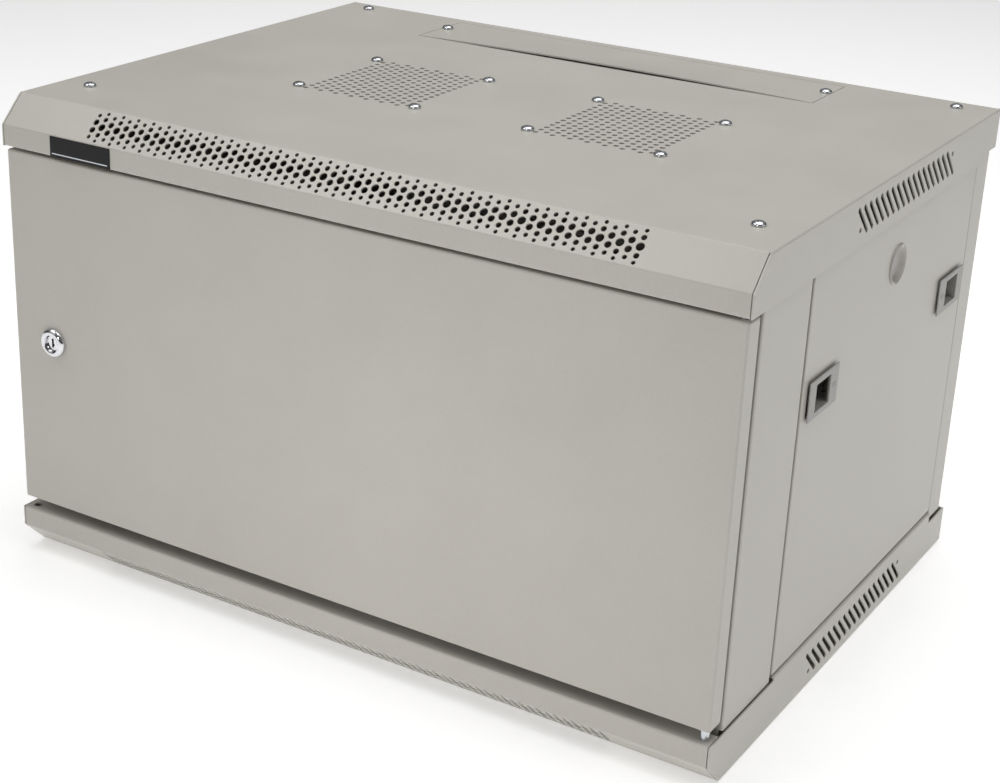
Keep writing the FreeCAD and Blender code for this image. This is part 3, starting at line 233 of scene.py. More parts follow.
def ring(mesh, place, diameter, sides, longer=0.0):
    """A loose ring of edges for a punched hole, stretched along its Y into a slot."""
    verts = bmesh.ops.create_circle(mesh, cap_ends=False, segments=sides,
                                    radius=diameter / 2)["verts"]
    for vert in verts:
        vert.co.y += math.copysign(longer / 2, vert.co.y)
    bmesh.ops.transform(mesh, matrix=place, verts=verts)
    return verts


def square_hole(mesh, place, across, up):
    """A loose rectangle of edges for a square-cut opening."""
    corner_up = Matrix.Rotation(math.pi / 4, 4, "Z")
    return ring(mesh, place @ spanned(across, up) @ corner_up, math.sqrt(2), 4)


def punch(mesh, face, rings):
    """Open a flat face along the rings that lie on it."""
    border, normal = list(face.edges), face.normal.copy()
    bmesh.ops.delete(mesh, geom=[face], context="FACES_ONLY")
    edges = border + edges_of([vert for verts in rings for vert in verts])
    filled = bmesh.ops.triangle_fill(mesh, edges=edges, use_beauty=True, use_dissolve=False,
                                     normal=normal)
    hidden = [part for part in filled["geom"]
              if isinstance(part, bmesh.types.BMFace) and part.normal.dot(normal) < 0]
    bmesh.ops.reverse_faces(mesh, faces=hidden)


def broadest(faces):
    """The face with the largest area."""
    return max(faces, key=lambda face: face.calc_area())


def thicken(mesh, gauge, side):
    """Turn a folded sheet so that the named side shows, and give it its gauge behind that."""
    bmesh.ops.recalc_face_normals(mesh, faces=mesh.faces)
    if broadest(mesh.faces).normal.dot(Vector(side)) < 0:
        bmesh.ops.reverse_faces(mesh, faces=mesh.faces)
    mesh.normal_update()
    bmesh.ops.solidify(mesh, geom=mesh.faces[:], thickness=gauge)


half_width, half_depth, roof = 0.300, 0.225, 0.368
sheet_gauge, fold_radius = 0.0012, 0.0016
fall, lip, flange, ledge = 0.0205, 0.016, 0.030, 0.0365
seam = 0.2982
flange_front, flange_rear = -0.2045, 0.1885
side_middle = 0.031
fan_x, fan_y = 0.1005, -0.006
entry_screw_y = 0.185

# by its first column's place: how far up the slope a hole is, its diameter and its sides
chamfer_pitch, chamfer_columns = 0.0139, 32
chamfer_rows = {
    -0.2120: ((0, 0.0060, 16), (0.0065, 0.0041, 12), (-0.0065, 0.0041, 12), (0.0114, 0.0030, 10),
              (-0.0114, 0.0030, 10)),
    -0.21895: ((0.0032, 0.0050, 14), (-0.0032, 0.0050, 14), (0.0090, 0.0034, 10),
               (-0.0090, 0.0034, 10)),
}


def folded_cover(mesh, steps):
    """Fold a cover's blank: chamfer, lip, ledge and rear flange, then a flange down each side.

    steps are the (front, rear, depth) of each length of a side flange, shallowest first.
    """
    blank(mesh, (-half_width, half_width), (fall - half_depth, half_depth), Matrix())
    for x in (-seam, seam):
        cut_across(mesh, mesh.faces[:], (x, 0, 0), (1, 0, 0))
    nose = within(edges_at(mesh, y=fall - half_depth, z=0), "x", -seam, seam)
    for by in ((0, -fall, -fall), (0, 0, -lip), (0, lip, 0)):
        corners = carry_on(mesh, nose, by)
        nose = [edge for edge in corners[0].link_edges if edge.other_vert(corners[0]) in corners]
    carry_on(mesh, within(edges_at(mesh, y=half_depth, z=0), "x", -seam, seam), (0, 0, -flange))
    for x in (-half_width, half_width):
        carry_on(mesh, edges_at(mesh, x=x, z=0), (0, 0, -flange))
        foot = flange
        for front, rear, depth in steps:
            for y in (front, rear):
                cut_across(mesh, faces_at(mesh, x=x), (0, y, 0), (0, 1, 0))
            border = within(edges_at(mesh, x=x, z=-foot), "y", front, rear)
            carry_on(mesh, border, (0, 0, foot - depth))
            foot = depth
        tip = carry_on(mesh, edges_at(mesh, x=x, y=fall - half_depth), (0, -fall, 0))
        max(tip, key=lambda vert: vert.co.z).co.z -= fall
    bmesh.ops.remove_doubles(mesh, verts=mesh.verts, dist=1e-6)


def flat_face(mesh, near):
    """The broad face whose middle is nearest a point."""
    broad = [face for face in mesh.faces if face.calc_area() > 0.001]
    return min(broad, key=lambda face: (face.calc_center_median() - Vector(near)).length)


def join_flats(mesh):
    """Join the flat faces that scored lines left apart."""
    bmesh.ops.recalc_face_normals(mesh, faces=mesh.faces)
    scored = [
        edge for edge in mesh.edges
        if len(edge.link_faces) == 2 and edge.calc_face_angle(0) < math.radians(1)
    ]
    bmesh.ops.dissolve_edges(mesh, edges=scored, use_verts=False, use_face_split=False)
    straight = []
    for vert in mesh.verts:
        ways = [edge.other_vert(vert).co - vert.co for edge in vert.link_edges]
        if len(ways) == 2 and ways[0].angle(ways[1]) > math.radians(179):
            straight.append(vert)
    bmesh.ops.dissolve_verts(mesh, verts=straight)


def punch_chamfer(mesh):
    """Punch the chamfer: columns of five and four holes in turn, coarse in the middle."""
    slope = (Matrix.Translation((0, fall / 2 - half_depth, -fall / 2))
             @ Matrix.Rotation(math.pi / 4, 4, "X"))
    rings = [
        ring(mesh, slope @ Matrix.Translation((start + chamfer_pitch * column, up, 0)),
             diameter, sides)
        for start, rows in chamfer_rows.items()
        for column in range(chamfer_columns) for up, diameter, sides in rows
    ]
    punch(mesh, flat_face(mesh, slope.translation), rings)


def punch_side_slots(mesh, slant):
    """Punch each side flange: eighteen leaning slots between two small holes."""
    pitch, width, rise = 0.010, 0.004, 0.0205
    lean = Matrix.Rotation(slant * math.pi / 4 + math.pi / 2, 4, "Z")
    for x in (-half_width, half_width):
        upright = (Matrix.Translation((x, side_middle, -ledge / 2))
                   @ Matrix.Rotation(math.pi / 2, 4, "Y"))
        rings = [
            ring(mesh, upright @ Matrix.Translation((0, (column - 8.5) * pitch, 0)) @ lean,
                 width, 12, rise * math.sqrt(2) - width)
            for column in range(18)
        ]
        for along in (-0.088, 0.088):
            up = slant * math.copysign(0.0063, along)
            rings.append(ring(mesh, upright @ Matrix.Translation((-up, along, 0)), width, 12))
        punch(mesh, flat_face(mesh, (x, 0, -ledge / 2)), rings)


cover = bmesh.new()
folded_cover(cover, [(flange_front, flange_rear, ledge)])
join_flats(cover)
round_folds(cover, fold_radius)
punch_chamfer(cover)
punch_side_slots(cover, 1)
grille_pitch, grille_rows, stagger = (0.00693, 0.008), 14, 0.002
grille = []
for side in (-1, 1):
    for column in range(grille_rows):
        for row in range(grille_rows):
            x = side * fan_x + (column - 6.5) * grille_pitch[0]
            y = (row - 6.5) * grille_pitch[1] + fan_y + (stagger if column % 2 else -stagger)
            grille.append(ring(cover, Matrix.Translation((x, y, 0)), 0.0044, 10))
entry = square_hole(cover, Matrix(), (-0.179, 0.179), (0.146, 0.213))
punch(cover, flat_face(cover, (0, 0, 0)), grille + [entry])
thicken(cover, sheet_gauge, (0, 0, 1))
bmesh.ops.translate(cover, verts=cover.verts, vec=(0, 0, roof))
hook_z = 0.3662  # the middle of the tabs under the opening, and of the entry cover's own hook
for x in (-0.179, 0.179):
    bar(cover, (x, entry_screw_y, hook_z), (0.032, 0.016, sheet_gauge))
placed(cover, "top_cover_sheet", powder_coat, "cabinet", ["top_cover"])


# --- bottom tray ---------------------------------------------------------------------------
# The same folded sheet turned over to stand on. Its flanges rise further beside the side
# panels, where they fold inward, and its front ledge has a hole for the door's lower pin.

rim_front, rim_depth = -0.1240, 0.0395
hinge_x, hinge_y = 0.292, -0.217

tray = bmesh.new()
folded_cover(tray, [(flange_front, flange_rear, ledge), (rim_front, flange_rear, rim_depth)])
for side in (-1, 1):
    rim = within(edges_at(tray, x=side * half_width, z=-rim_depth), "y", rim_front, flange_rear)
    carry_on(tray, rim, (-side * 0.014, 0, 0))
join_flats(tray)
round_folds(tray, fold_radius)
punch_chamfer(tray)
punch_side_slots(tray, -1)
pins = [ring(tray, Matrix.Translation((x, hinge_y, -ledge)), 0.006, 20)
        for x in (-hinge_x, hinge_x)]
punch(tray, flat_face(tray, (0, hinge_y, -ledge)), pins)
for side in (-1, 1):
    slots = [ring(tray, Matrix.Translation((side * 0.2905, side_middle + along, -rim_depth)),
                  0.006, 12, 0.016) for along in (-0.110, 0.110)]
    punch(tray, flat_face(tray, (side * 0.292, 0.0325, -rim_depth)), slots)
thicken(tray, sheet_gauge, (0, 0, 1))
bmesh.ops.rotate(tray, verts=tray.verts, cent=(0, 0, 0), matrix=Matrix.Rotation(math.pi, 3, "Y"))
placed(tray, "bottom_tray_sheet", powder_coat, "cabinet", ["bottom_tray"])


# --- screws on the roof --------------------------------------------------------------------
# Bright zinc pan-head machine screws with cross recesses: one over each post, four round
# each fan, and two that hold the cable entry cover.


bright_zinc = finish("bright_zinc", (0.50, 0.52, 0.55), (0.62, 0.64, 0.66), (0.16, 0.28),
                     1500, 0.00002, Metallic=1.0)


def turned(mesh, profile, sides):
    """Turn a profile of (radius, height) points about the upright axis."""
    verts = [mesh.verts.new((radius, 0, height)) for radius, height in profile]
    edges = [mesh.edges.new(pair) for pair in zip(verts, verts[1:])]
    bmesh.ops.spin(mesh, geom=verts + edges, cent=(0, 0, 0), axis=(0, 0, 1), angle=2 * math.pi,
                   steps=sides, use_merge=True, use_duplicate=False)
    bmesh.ops.remove_doubles(mesh, verts=mesh.verts, dist=1e-7)
    bare = [edge for edge in mesh.edges if not edge.link_faces]
    bmesh.ops.delete(mesh, geom=bare, context="EDGES")
    bmesh.ops.recalc_face_normals(mesh, faces=mesh.faces)


def finished(mesh, name):
    """The data of a finished mesh, to be set in place more than once."""
    data = bpy.data.meshes.new(name)
    mesh.to_mesh(data)
    mesh.free()
    return data


def made_solid(mesh, name):
    """Park a mesh as an object for a modifier to work on."""
    parked = bpy.data.objects.new(name, finished(mesh, name))
    bpy.context.scene.collection.objects.link(parked)
    return parked


def sunk(body, cutters):
    """Sink cutters into a body, and give the mesh that is left."""
    for cutter in cutters:
        sink = body.modifiers.new("sink", "BOOLEAN")
        sink.operation = "DIFFERENCE"
        sink.solver = "EXACT"
        sink.object = cutter
    depsgraph = bpy.context.evaluated_depsgraph_get()
    left = bpy.data.meshes.new_from_object(body.evaluated_get(depsgraph))
    for parked in (body, *cutters):
        bpy.data.objects.remove(parked)
    return left


def blade(turn, long, thick, deep):
    """One wing of a screwdriver's cross, narrower at its foot."""
    wing = bmesh.new()
    bar(wing, (0, 0, 0), (long, thick, 2 * deep))
    foot = [vert for vert in wing.verts if vert.co.z < 0]
    bmesh.ops.scale(wing, verts=foot, vec=(0.45, 0.55, 1))
    bmesh.ops.rotate(wing, verts=wing.verts, cent=(0, 0, 0), matrix=Matrix.Rotation(turn, 3, "Z"))
    return wing


def pan_head(width, height):
    """The mesh of a pan-head screw's head and a stub of its shank, standing on its seat."""
    head, radius, shank = bmesh.new(), width / 2, 0.0022
    angles = [step * math.pi / 16 for step in range(8)]
    round_top = [(radius * math.cos(angle), height * (0.30 + 0.70 * math.sin(angle)))
                 for angle in angles]
    turned(head, [(0, -0.006), (shank, -0.006), (shank, 0), (radius - 0.0003, 0), (radius, 0.0003),
                  *round_top, (0, height)], 32)
    wings = []
    for step in range(2):
        wing = blade(step * math.pi / 2, width * 0.52, 0.0011, 0.0017)
        bmesh.ops.translate(wing, verts=wing.verts, vec=(0, 0, height))
        wings.append(made_solid(wing, "wing"))
    return sunk(made_solid(head, "head"), wings)


screw_head = pan_head(0.0096, 0.0032)


def screws(mesh, head, places, lie=Matrix()):
    """Set a screw head at each place, each one turned as it happened to stop."""
    for step, place in enumerate(places):
        before = len(mesh.verts)
        mesh.from_mesh(head)
        mesh.verts.ensure_lookup_table()
        seat = Matrix.Translation(place) @ lie @ Matrix.Rotation(step * 2.4, 4, "Z")
        bmesh.ops.transform(mesh, matrix=seat, verts=mesh.verts[before:])


fan_hole = 0.0525  # from a fan's middle to its screws, both ways
roof_screws = {
    "top_corner_screws": [(x, y, roof) for x in (-0.2715, 0.2715) for y in (-0.1605, 0.206)],
    "fan_screws": [(side * fan_x + x, fan_y + y, roof) for side in (-1, 1)
                   for x in (-fan_hole, fan_hole) for y in (-fan_hole, fan_hole)],
    "cover_screws": [(x, entry_screw_y, roof) for x in (-0.174, 0.174)],
}
for node, places in roof_screws.items():
    set_screws = bmesh.new()
    screws(set_screws, screw_head, places)
    placed(set_screws, f"{node}_heads", bright_zinc, "cabinet", [node])


# --- cable entry cover ---------------------------------------------------------------------
# A strip of the same painted sheet that closes the opening at the back of the roof. It is
# hooked under the rear edge and held by two screws, and its front edge bows up between them.

plate_half, plate_front, plate_rear = 0.1784, 0.1468, 0.2124
plate = bmesh.new()
blank(plate, (-plate_half, plate_half), (plate_front, plate_rear), Matrix())
long_edges = edges_at(plate, y=plate_front) + edges_at(plate, y=plate_rear)
bmesh.ops.subdivide_edges(plate, edges=long_edges, cuts=23, use_grid_fill=True)
ribs = [edge for edge in plate.edges if edge.calc_length() > 0.03]
bmesh.ops.subdivide_edges(plate, edges=ribs, cuts=7, use_grid_fill=True)
for vert in plate.verts:
    across, back = vert.co.x / plate_half, (vert.co.y - plate_front) / (plate_rear - plate_front)
    bow = (1 - across ** 2) * max(0, 1 - 1.5 * back) ** 2
    vert.co.y += 0.0008 * bow
    vert.co.z += 0.0023 * bow
thicken(plate, sheet_gauge, (0, 0, 1))
bmesh.ops.translate(plate, verts=plate.verts, vec=(0, 0, roof))
bar(plate, (0, 0.2129, hook_z), (0.300, 0.011, sheet_gauge))
placed(plate, "cable_entry_plate", powder_coat, "cabinet", ["cable_entry_cover"])


# --- roof fans -----------------------------------------------------------------------------
# Two 120 mm axial fans of glass-filled black plastic, screwed under the roof. Each frame has
# a flange at top and bottom, a duct and four struts. The rotor has seven swept blades.


fan_plastic = finish("fan_plastic", (0.014, 0.014, 0.015), (0.024, 0.024, 0.025), (0.42, 0.58),
                     1800, 0.00003)


def fan_flange(mesh, top, depth):
    """One square flange of a fan's frame: rounded corners, a round duct and four holes."""
    level = Matrix.Translation((0, 0, top))
    corners = blank(mesh, (-0.060, 0.060), (-0.060, 0.060), level)
    bmesh.ops.bevel(mesh, geom=corners, offset=0.006, offset_type="OFFSET", affect="VERTICES",
                    segments=5, profile=0.5, material=-1)
    face = next(f for f in mesh.faces if abs(f.calc_center_median().z - top) < 1e-6)
    holes = [ring(mesh, level @ Matrix.Translation((x, y, 0)), 0.0043, 12)
             for x in (-fan_hole, fan_hole) for y in (-fan_hole, fan_hole)]
    duct = ring(mesh, level, 0.114, 64)
    punch(mesh, face, holes + [duct])
    faces = [f for f in mesh.faces if all(abs(vert.co.z - top) < 1e-6 for vert in f.verts)]
    if faces[0].normal.z < 0:
        bmesh.ops.reverse_faces(mesh, faces=faces)
    bmesh.ops.solidify(mesh, geom=faces, thickness=depth)


for hand, x in (("left", -fan_x), ("right", fan_x)):
    shell = bmesh.new()
    turned(shell, [(0.0570, 0.0002), (0.0592, 0.0002), (0.0592, 0.0248), (0.0570, 0.0248),
                   (0.0570, 0.0002)], 64)
    fan_flange(shell, 0.0250, 0.0035)
    fan_flange(shell, 0.0035, 0.0035)
    motor = bmesh.new()
    turned(motor, [(0, 0), (0.0195, 0), (0.0200, 0.0005), (0.0200, 0.0035), (0.0195, 0.0040),
                   (0, 0.0040)], 40)
    for step in range(4):
        strut = (Matrix.Rotation(math.pi * (2 * step + 1) / 4, 4, "Z")
                 @ Matrix.Translation((0.0385, 0.003, 0.0019)))
        bmesh.ops.create_cube(motor, size=1,
                              matrix=strut @ Matrix.Diagonal((0.038, 0.004, 0.0034, 1)))
    shell.from_mesh(finished(motor, "motor"))
    bmesh.ops.translate(shell, verts=shell.verts, vec=(x, fan_y, 0.3418))
    placed(shell, f"{hand}_fan_shell", fan_plastic, "cabinet", [f"{hand}_fan_frame"])

    vane = bmesh.new()
    bmesh.ops.create_grid(vane, x_segments=8, y_segments=6, size=0.5)
    for vert in vane.verts:
        out, across = vert.co.x + 0.5, vert.co.y
        radius = 0.0172 + 0.0364 * out
        turn = across * (0.86 - 0.22 * out) + 0.30 * out ** 1.5
        rise = 0.0086 + across * (0.0142 - 0.0030 * out) - 0.0016 * (1 - 4 * across ** 2)
        vert.co = (radius * math.cos(turn), radius * math.sin(turn), rise)
    bmesh.ops.solidify(vane, geom=vane.faces[:], thickness=0.0014)
    bmesh.ops.recalc_face_normals(vane, faces=vane.faces)
    swept = finished(vane, "vane")
    rotor = bmesh.new()
    turned(rotor, [(0, -0.0038), (0.0015, -0.0038), (0.0015, 0.0002), (0.0180, 0.0002),
                   (0.0180, 0.0154), (0.0176, 0.0164), (0.0166, 0.0168), (0, 0.0168)], 40)
    for step in range(7):
        before = len(rotor.verts)
        rotor.from_mesh(swept)
        rotor.verts.ensure_lookup_table()
        bmesh.ops.rotate(rotor, verts=rotor.verts[before:], cent=(0, 0, 0),
                         matrix=Matrix.Rotation(step * 2 * math.pi / 7, 3, "Z"))
    bmesh.ops.translate(rotor, verts=rotor.verts, vec=(x, fan_y, 0.3459))
    placed(rotor, f"{hand}_fan_wheel", fan_plastic, f"{hand}_rotor", [f"{hand}_fan_rotor"])


# --- bare badge plate ----------------------------------------------------------------------
# A small plate of gloss black plastic, left plain and glued to the lip. A bright line runs
# along its foot.

badge_gloss = finish("badge_gloss", (0.004, 0.004, 0.005), (0.009, 0.009, 0.010), (0.10, 0.18),
                     400, 0.00001, Specular_IOR_Level=0.22)
badge_x = -0.2244
badge = bmesh.new()
bar(badge, (badge_x, -0.2254, 0.3395), (0.0565, 0.0008, 0.0150))
ease(badge, edges_at(badge, y=-0.2258), 0.0003, 2)
placed(badge, "badge_plate_gloss", badge_gloss, "cabinet", ["badge_plate"])
trim = bmesh.new()
bar(trim, (badge_x, -0.2258, 0.3344), (0.0525, 0.0004, 0.0008))
placed(trim, "badge_line", bright_zinc, "cabinet", [])


# --- corner posts --------------------------------------------------------------------------
# Folded steel posts, painted as the covers are. Each has an outer skin, a return at both
# edges, a tab under the roof for its screw, and a slot for the tongue of a panel latch.


skin_x, latch_z = 0.2985, 0.2413
post_head = roof - sheet_gauge


def upright_plane(across, out, place):
    """An upright plane: its X runs across, its Y up, and its Z out of the sheet."""
    turn = Matrix((across, (0, 0, 1), out)).transposed()
    return Matrix.Translation(place) @ turn.to_4x4()


def corner_post(name, side, front, rear, foot, slot_edge, tab_front):
    """Fold one post, with its latch slot in the return at slot_edge and a tab from tab_front."""
    skin = side * skin_x
    post = bmesh.new()
    blank(post, (front, rear), (foot, post_head), upright_plane((0, 1, 0), (1, 0, 0), (skin, 0, 0)))
    for y in (front, rear):
        carry_on(post, within(edges_at(post, x=skin, y=y), "z", foot, post_head),
                 (-side * 0.026, 0, 0))
    for y in (front, rear):
        cut_across(post, faces_at(post, y=y), (skin - side * 0.003, 0, 0), (1, 0, 0))
        low = [edge for edge in edges_at(post, y=y, z=foot)
               if max(abs(vert.co.x) for vert in edge.verts) < 0.2960]
        carry_on(post, low, (0, 0, sheet_gauge - foot))
    cut_across(post, faces_at(post, x=skin), (0, tab_front, 0), (0, 1, 0))
    ends = within(edges_at(post, x=skin, z=post_head), "y", tab_front, rear)
    carry_on(post, [edge for edge in ends if edge.calc_length() > 0.002], (-side * 0.044, 0, 0))
    bmesh.ops.recalc_face_normals(post, faces=post.faces)
    join_flats(post)
    round_folds(post, 0.0015)
    back = broadest(faces_at(post, y=slot_edge))
    at_latch = (Matrix.Translation((side * 0.28925, slot_edge, latch_z))
                @ Matrix.Rotation(math.pi / 2, 4, "X"))
    punch(post, back, [square_hole(post, at_latch, (-0.00275, 0.00275), (-0.010, 0.010))])
    thicken(post, sheet_gauge, (side, 0, 0))
    placed(post, f"{name}_sheet", powder_coat, "cabinet", [name])


for hand, side in (("left", -1), ("right", 1)):
    corner_post(f"front_{hand}_post", side, -0.2037, -0.1280, 0.0377, -0.1280, -0.1850)
    corner_post(f"rear_{hand}_post", side, 0.1894, 0.2170, 0.0330, 0.1894, 0.1894)


# --- back panel ----------------------------------------------------------------------------
# A flat sheet of 1.5 mm steel, painted as the covers are and fixed between the rear posts.
# Four slots take the wall bolts.

frame_gauge, frame_fold = 0.0015, 0.0015
lying = Matrix.Rotation(math.pi / 2, 4, "Z")

wall_sheet = bmesh.new()
facing_wall = upright_plane((-1, 0, 0), (0, 1, 0), (0, 0.2158, 0))
blank(wall_sheet, (-0.290, 0.290), (sheet_gauge, 0.3638), facing_wall)
bolts = [ring(wall_sheet, facing_wall @ Matrix.Translation((x, 0.184 + z, 0)) @ lying,
              0.010, 24, 0.010) for x in (-0.200, 0.200) for z in (-0.110, 0.110)]
punch(wall_sheet, wall_sheet.faces[:][0], bolts)
thicken(wall_sheet, frame_gauge, (0, 1, 0))
placed(wall_sheet, "back_panel_sheet", powder_coat, "cabinet", ["back_panel"])


# --- rack rails and their brackets ---------------------------------------------------------
# Four angles of painted steel with three square holes to each rack unit, screwed to four
# flat brackets that run from the front posts to the rear ones.

rack_unit, rack_foot, rack_hole = 0.04445, 0.05065, 0.0095
rail_x = 0.2500  # the rails' webs and the brackets' strips meet here
screw_ys = (-0.145, 0.085)

for end, face_y, web_y in (("front", -0.165, -0.135), ("rear", 0.105, 0.075)):
    for hand, side in (("left", -1), ("right", 1)):
        rail = bmesh.new()
        on_face = upright_plane((1, 0, 0), (0, -1, 0), (0, face_y, 0))
        blank(rail, sorted((side * 0.2252, side * rail_x)), (0.03465, 0.33335), on_face)
        carry_on(rail, edges_at(rail, x=side * rail_x), (0, web_y - face_y, 0))
        round_folds(rail, frame_fold)
        square = Matrix.Rotation(math.pi / 4, 4, "Z")
        heights = [rack_foot + rack_unit * unit + up
                   for unit in range(6) for up in (0.00635, 0.022225, 0.0381)]
        holes = [ring(rail, on_face @ Matrix.Translation((side * 0.23255, z, 0)) @ square,
                      rack_hole * math.sqrt(2), 4) for z in heights]
        punch(rail, broadest(faces_at(rail, y=face_y)), holes)
        thicken(rail, frame_gauge, (side, 0, 0))
        placed(rail, f"{end}_{hand}_rail_angle", powder_coat, "cabinet", [f"{end}_{hand}_rail"])

for hand, side in (("left", -1), ("right", 1)):
    for level, z in (("lower", 0.02615), ("upper", 0.31785)):
        bracket = bmesh.new()
        upright = upright_plane((0, 1, 0), (1, 0, 0), (side * rail_x, 0, 0))
        blank(bracket, (-0.2025, 0.190), (z, z + 0.024), upright)
        for y in (-0.2025, 0.190):
            carry_on(bracket, edges_at(bracket, y=y), (side * 0.034, 0, 0))
        round_folds(bracket, frame_fold)
        screw_z = z + (0.0165 if level == "lower" else 0.0075)
        slots = [ring(bracket, upright @ Matrix.Translation((y, screw_z, 0)) @ lying,
                      0.0055, 16, 0.030) for y in screw_ys]
        punch(bracket, broadest(faces_at(bracket, x=side * rail_x)), slots)
        thicken(bracket, frame_gauge, (-side, 0, 0))
        placed(bracket, f"{hand}_{level}_bracket_strip", powder_coat, "cabinet",
               [f"{hand}_{level}_bracket"])

rail_fixings = bmesh.new()
for side in (-1, 1):
    seats = [(side * (rail_x + frame_gauge), y, z) for y in screw_ys for z in (0.04265, 0.32535)]
    screws(rail_fixings, screw_head, seats, Matrix.Rotation(side * math.pi / 2, 4, "Y"))
placed(rail_fixings, "rail_screw_heads", bright_zinc, "cabinet", ["rail_screws"])


# --- earth stud ----------------------------------------------------------------------------
# A zinc plated M6 stud for the earth lead. It stands on the tray's floor, with its nut run
# down to the sheet.

stud = bmesh.new()
thread = [(0.0030 if step % 2 else 0.0026, 0.0075 + 0.0005 * step) for step in range(25)]
turned(stud, [(0, sheet_gauge), (0.0030, sheet_gauge), (0.0030, 0.0070), *thread,
              (0.0022, 0.0212), (0, 0.0212)], 24)
bmesh.ops.create_cone(stud, cap_ends=True, segments=6, radius1=0.00577, radius2=0.00577,
                      depth=0.005, matrix=Matrix.Translation((0, 0, 0.0037)) @ lying)
bmesh.ops.translate(stud, verts=stud.verts, vec=(-0.240, 0.155, 0))
placed(stud, "earth_stud_thread", bright_zinc, "cabinet", ["earth_stud"])


# --- door ----------------------------------------------------------------------------------
# A shallow pan of 1.2 mm steel with welded corners and lips turned in all round its back. A
# hat section is spot welded down its middle, and hinge pins pass through its two ends.

door_front, door_back = -0.2235, -0.2065
door_left, door_right, door_foot, door_head = -0.298, 0.298, 0.0455, 0.329
lock_x, lock_z = -0.260, 0.1844


def pan(mesh, place, across, up, depth, radius, turned_in=0.0):
    """A shallow pan: a face on a plane, folded back all round, its rim turned in or left plain."""
    blank(mesh, across, up, place)
    back = place.to_3x3() @ Vector((0, 0, -depth))
    rim = carry_on(mesh, mesh.edges[:], back)
    if turned_in:
        open_rim = [edge for edge in mesh.edges if all(vert in rim for vert in edge.verts)]
        inner = carry_on(mesh, open_rim, (0, 0, 0))
        wide, high = across[1] - across[0], up[1] - up[0]
        middle = place @ Vector(((across[0] + across[1]) / 2, (up[0] + up[1]) / 2, -depth))
        shrink = Matrix.Diagonal((1 - 2 * turned_in / wide, 1 - 2 * turned_in / high, 1, 1))
        into = Matrix.Translation(middle) @ place.to_3x3().to_4x4()
        bmesh.ops.transform(mesh, verts=inner, matrix=into @ shrink @ into.inverted())
    bmesh.ops.recalc_face_normals(mesh, faces=mesh.faces)
    round_folds(mesh, radius)


leaf = bmesh.new()
on_door = upright_plane((1, 0, 0), (0, -1, 0), (0, door_front, 0))
pan(leaf, on_door, (door_left, door_right), (door_foot, door_head), door_back - door_front, 0.0018,
    0.012)
punch(leaf, flat_face(leaf, (0, door_front, 0.187)),
      [ring(leaf, on_door @ Matrix.Translation((lock_x, lock_z, 0)), 0.0190, 40)])
for z in (door_foot, door_head):
    punch(leaf, flat_face(leaf, (0, (door_front + door_back) / 2, z)),
          [ring(leaf, Matrix.Translation((hinge_x, hinge_y, z)), 0.0064, 20)])
thicken(leaf, sheet_gauge, (0, -1, 0))
placed(leaf, "door_leaf", powder_coat, "door", ["door_panel"])

hat_half = 0.025
hat = bmesh.new()
crown = upright_plane((1, 0, 0), (0, 1, 0), (0, -0.2103, 0))
blank(hat, (-hat_half, hat_half), (0.0595, 0.315), crown)
for x in (-hat_half, hat_half):
    wall = carry_on(hat, edges_at(hat, x=x), (0, -0.0108, 0))
    foot = [edge for edge in wall[0].link_edges if edge.other_vert(wall[0]) in wall]
    carry_on(hat, foot, (math.copysign(0.014, x), 0, 0))
bmesh.ops.recalc_face_normals(hat, faces=hat.faces)
round_folds(hat, 0.0014)
thicken(hat, sheet_gauge, (0, 1, 0))
placed(hat, "door_hat_section", powder_coat, "door", ["door_stiffener"])


# --- door hinge ----------------------------------------------------------------------------
# Zinc plated pins. The lower one stands on the tray's ledge with a shoulder under the door.
# The upper one slides in a welded bracket, and a coil spring pushes it up through the lip.


def eased(node, name, material, body, easing):
    """A piece with a CAD part's own form, its sharp edges eased."""
    mesh = bmesh.new()
    mesh.from_mesh(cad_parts[node].data)
    bmesh.ops.remove_doubles(mesh, verts=mesh.verts, dist=1e-6)
    bmesh.ops.dissolve_limit(mesh, angle_limit=math.radians(1), verts=mesh.verts, edges=mesh.edges,
                             use_dissolve_boundaries=False, delimit=set())
    sharp = [edge for edge in mesh.edges if edge.calc_face_angle(0) > math.radians(30)]
    ease(mesh, sharp, easing, 2, clamp_overlap=True)
    placed(mesh, name, material, body, [node])


eased("hinge_pin_bracket", "hinge_pin_channel", powder_coat, "door", 0.0003)

lower_pin = bmesh.new()
turned(lower_pin, [(0, 0.0315), (0.0022, 0.0315), (0.00295, 0.0323), (0.00295, 0.0366),
                   (0.0034, 0.0366), (0.0035, 0.0368), (0.0035, 0.0453), (0.0034, 0.0455),
                   (0.00295, 0.0455), (0.00295, 0.0467), (0.0043, 0.0467), (0.0045, 0.0469),
                   (0.0044, 0.0482), (0.0040, 0.0487), (0, 0.0487)], 28)
bmesh.ops.translate(lower_pin, verts=lower_pin.verts, vec=(hinge_x, hinge_y, 0))
placed(lower_pin, "lower_pin_turned", bright_zinc, "door", ["lower_hinge_pin"])

upper_pin = bmesh.new()
turned(upper_pin, [(0, 0.2878), (0.00195, 0.2878), (0.00225, 0.2881), (0.00225, 0.3183),
                   (0.0034, 0.3183), (0.0036, 0.3185), (0.0036, 0.3201), (0.0034, 0.3203),
                   (0.00295, 0.3203), (0.00295, 0.3355), (0.0020, 0.3365), (0, 0.3365)], 28)
arm = bar(upper_pin, (-0.006, 0, 0.2898), (0.012, 0.004, 0.004))
ease(upper_pin, edges_of(arm), 0.0006)
bmesh.ops.translate(upper_pin, verts=upper_pin.verts, vec=(hinge_x, hinge_y, 0))
placed(upper_pin, "upper_pin_turned", bright_zinc, "spring_pin", ["upper_hinge_pin"])

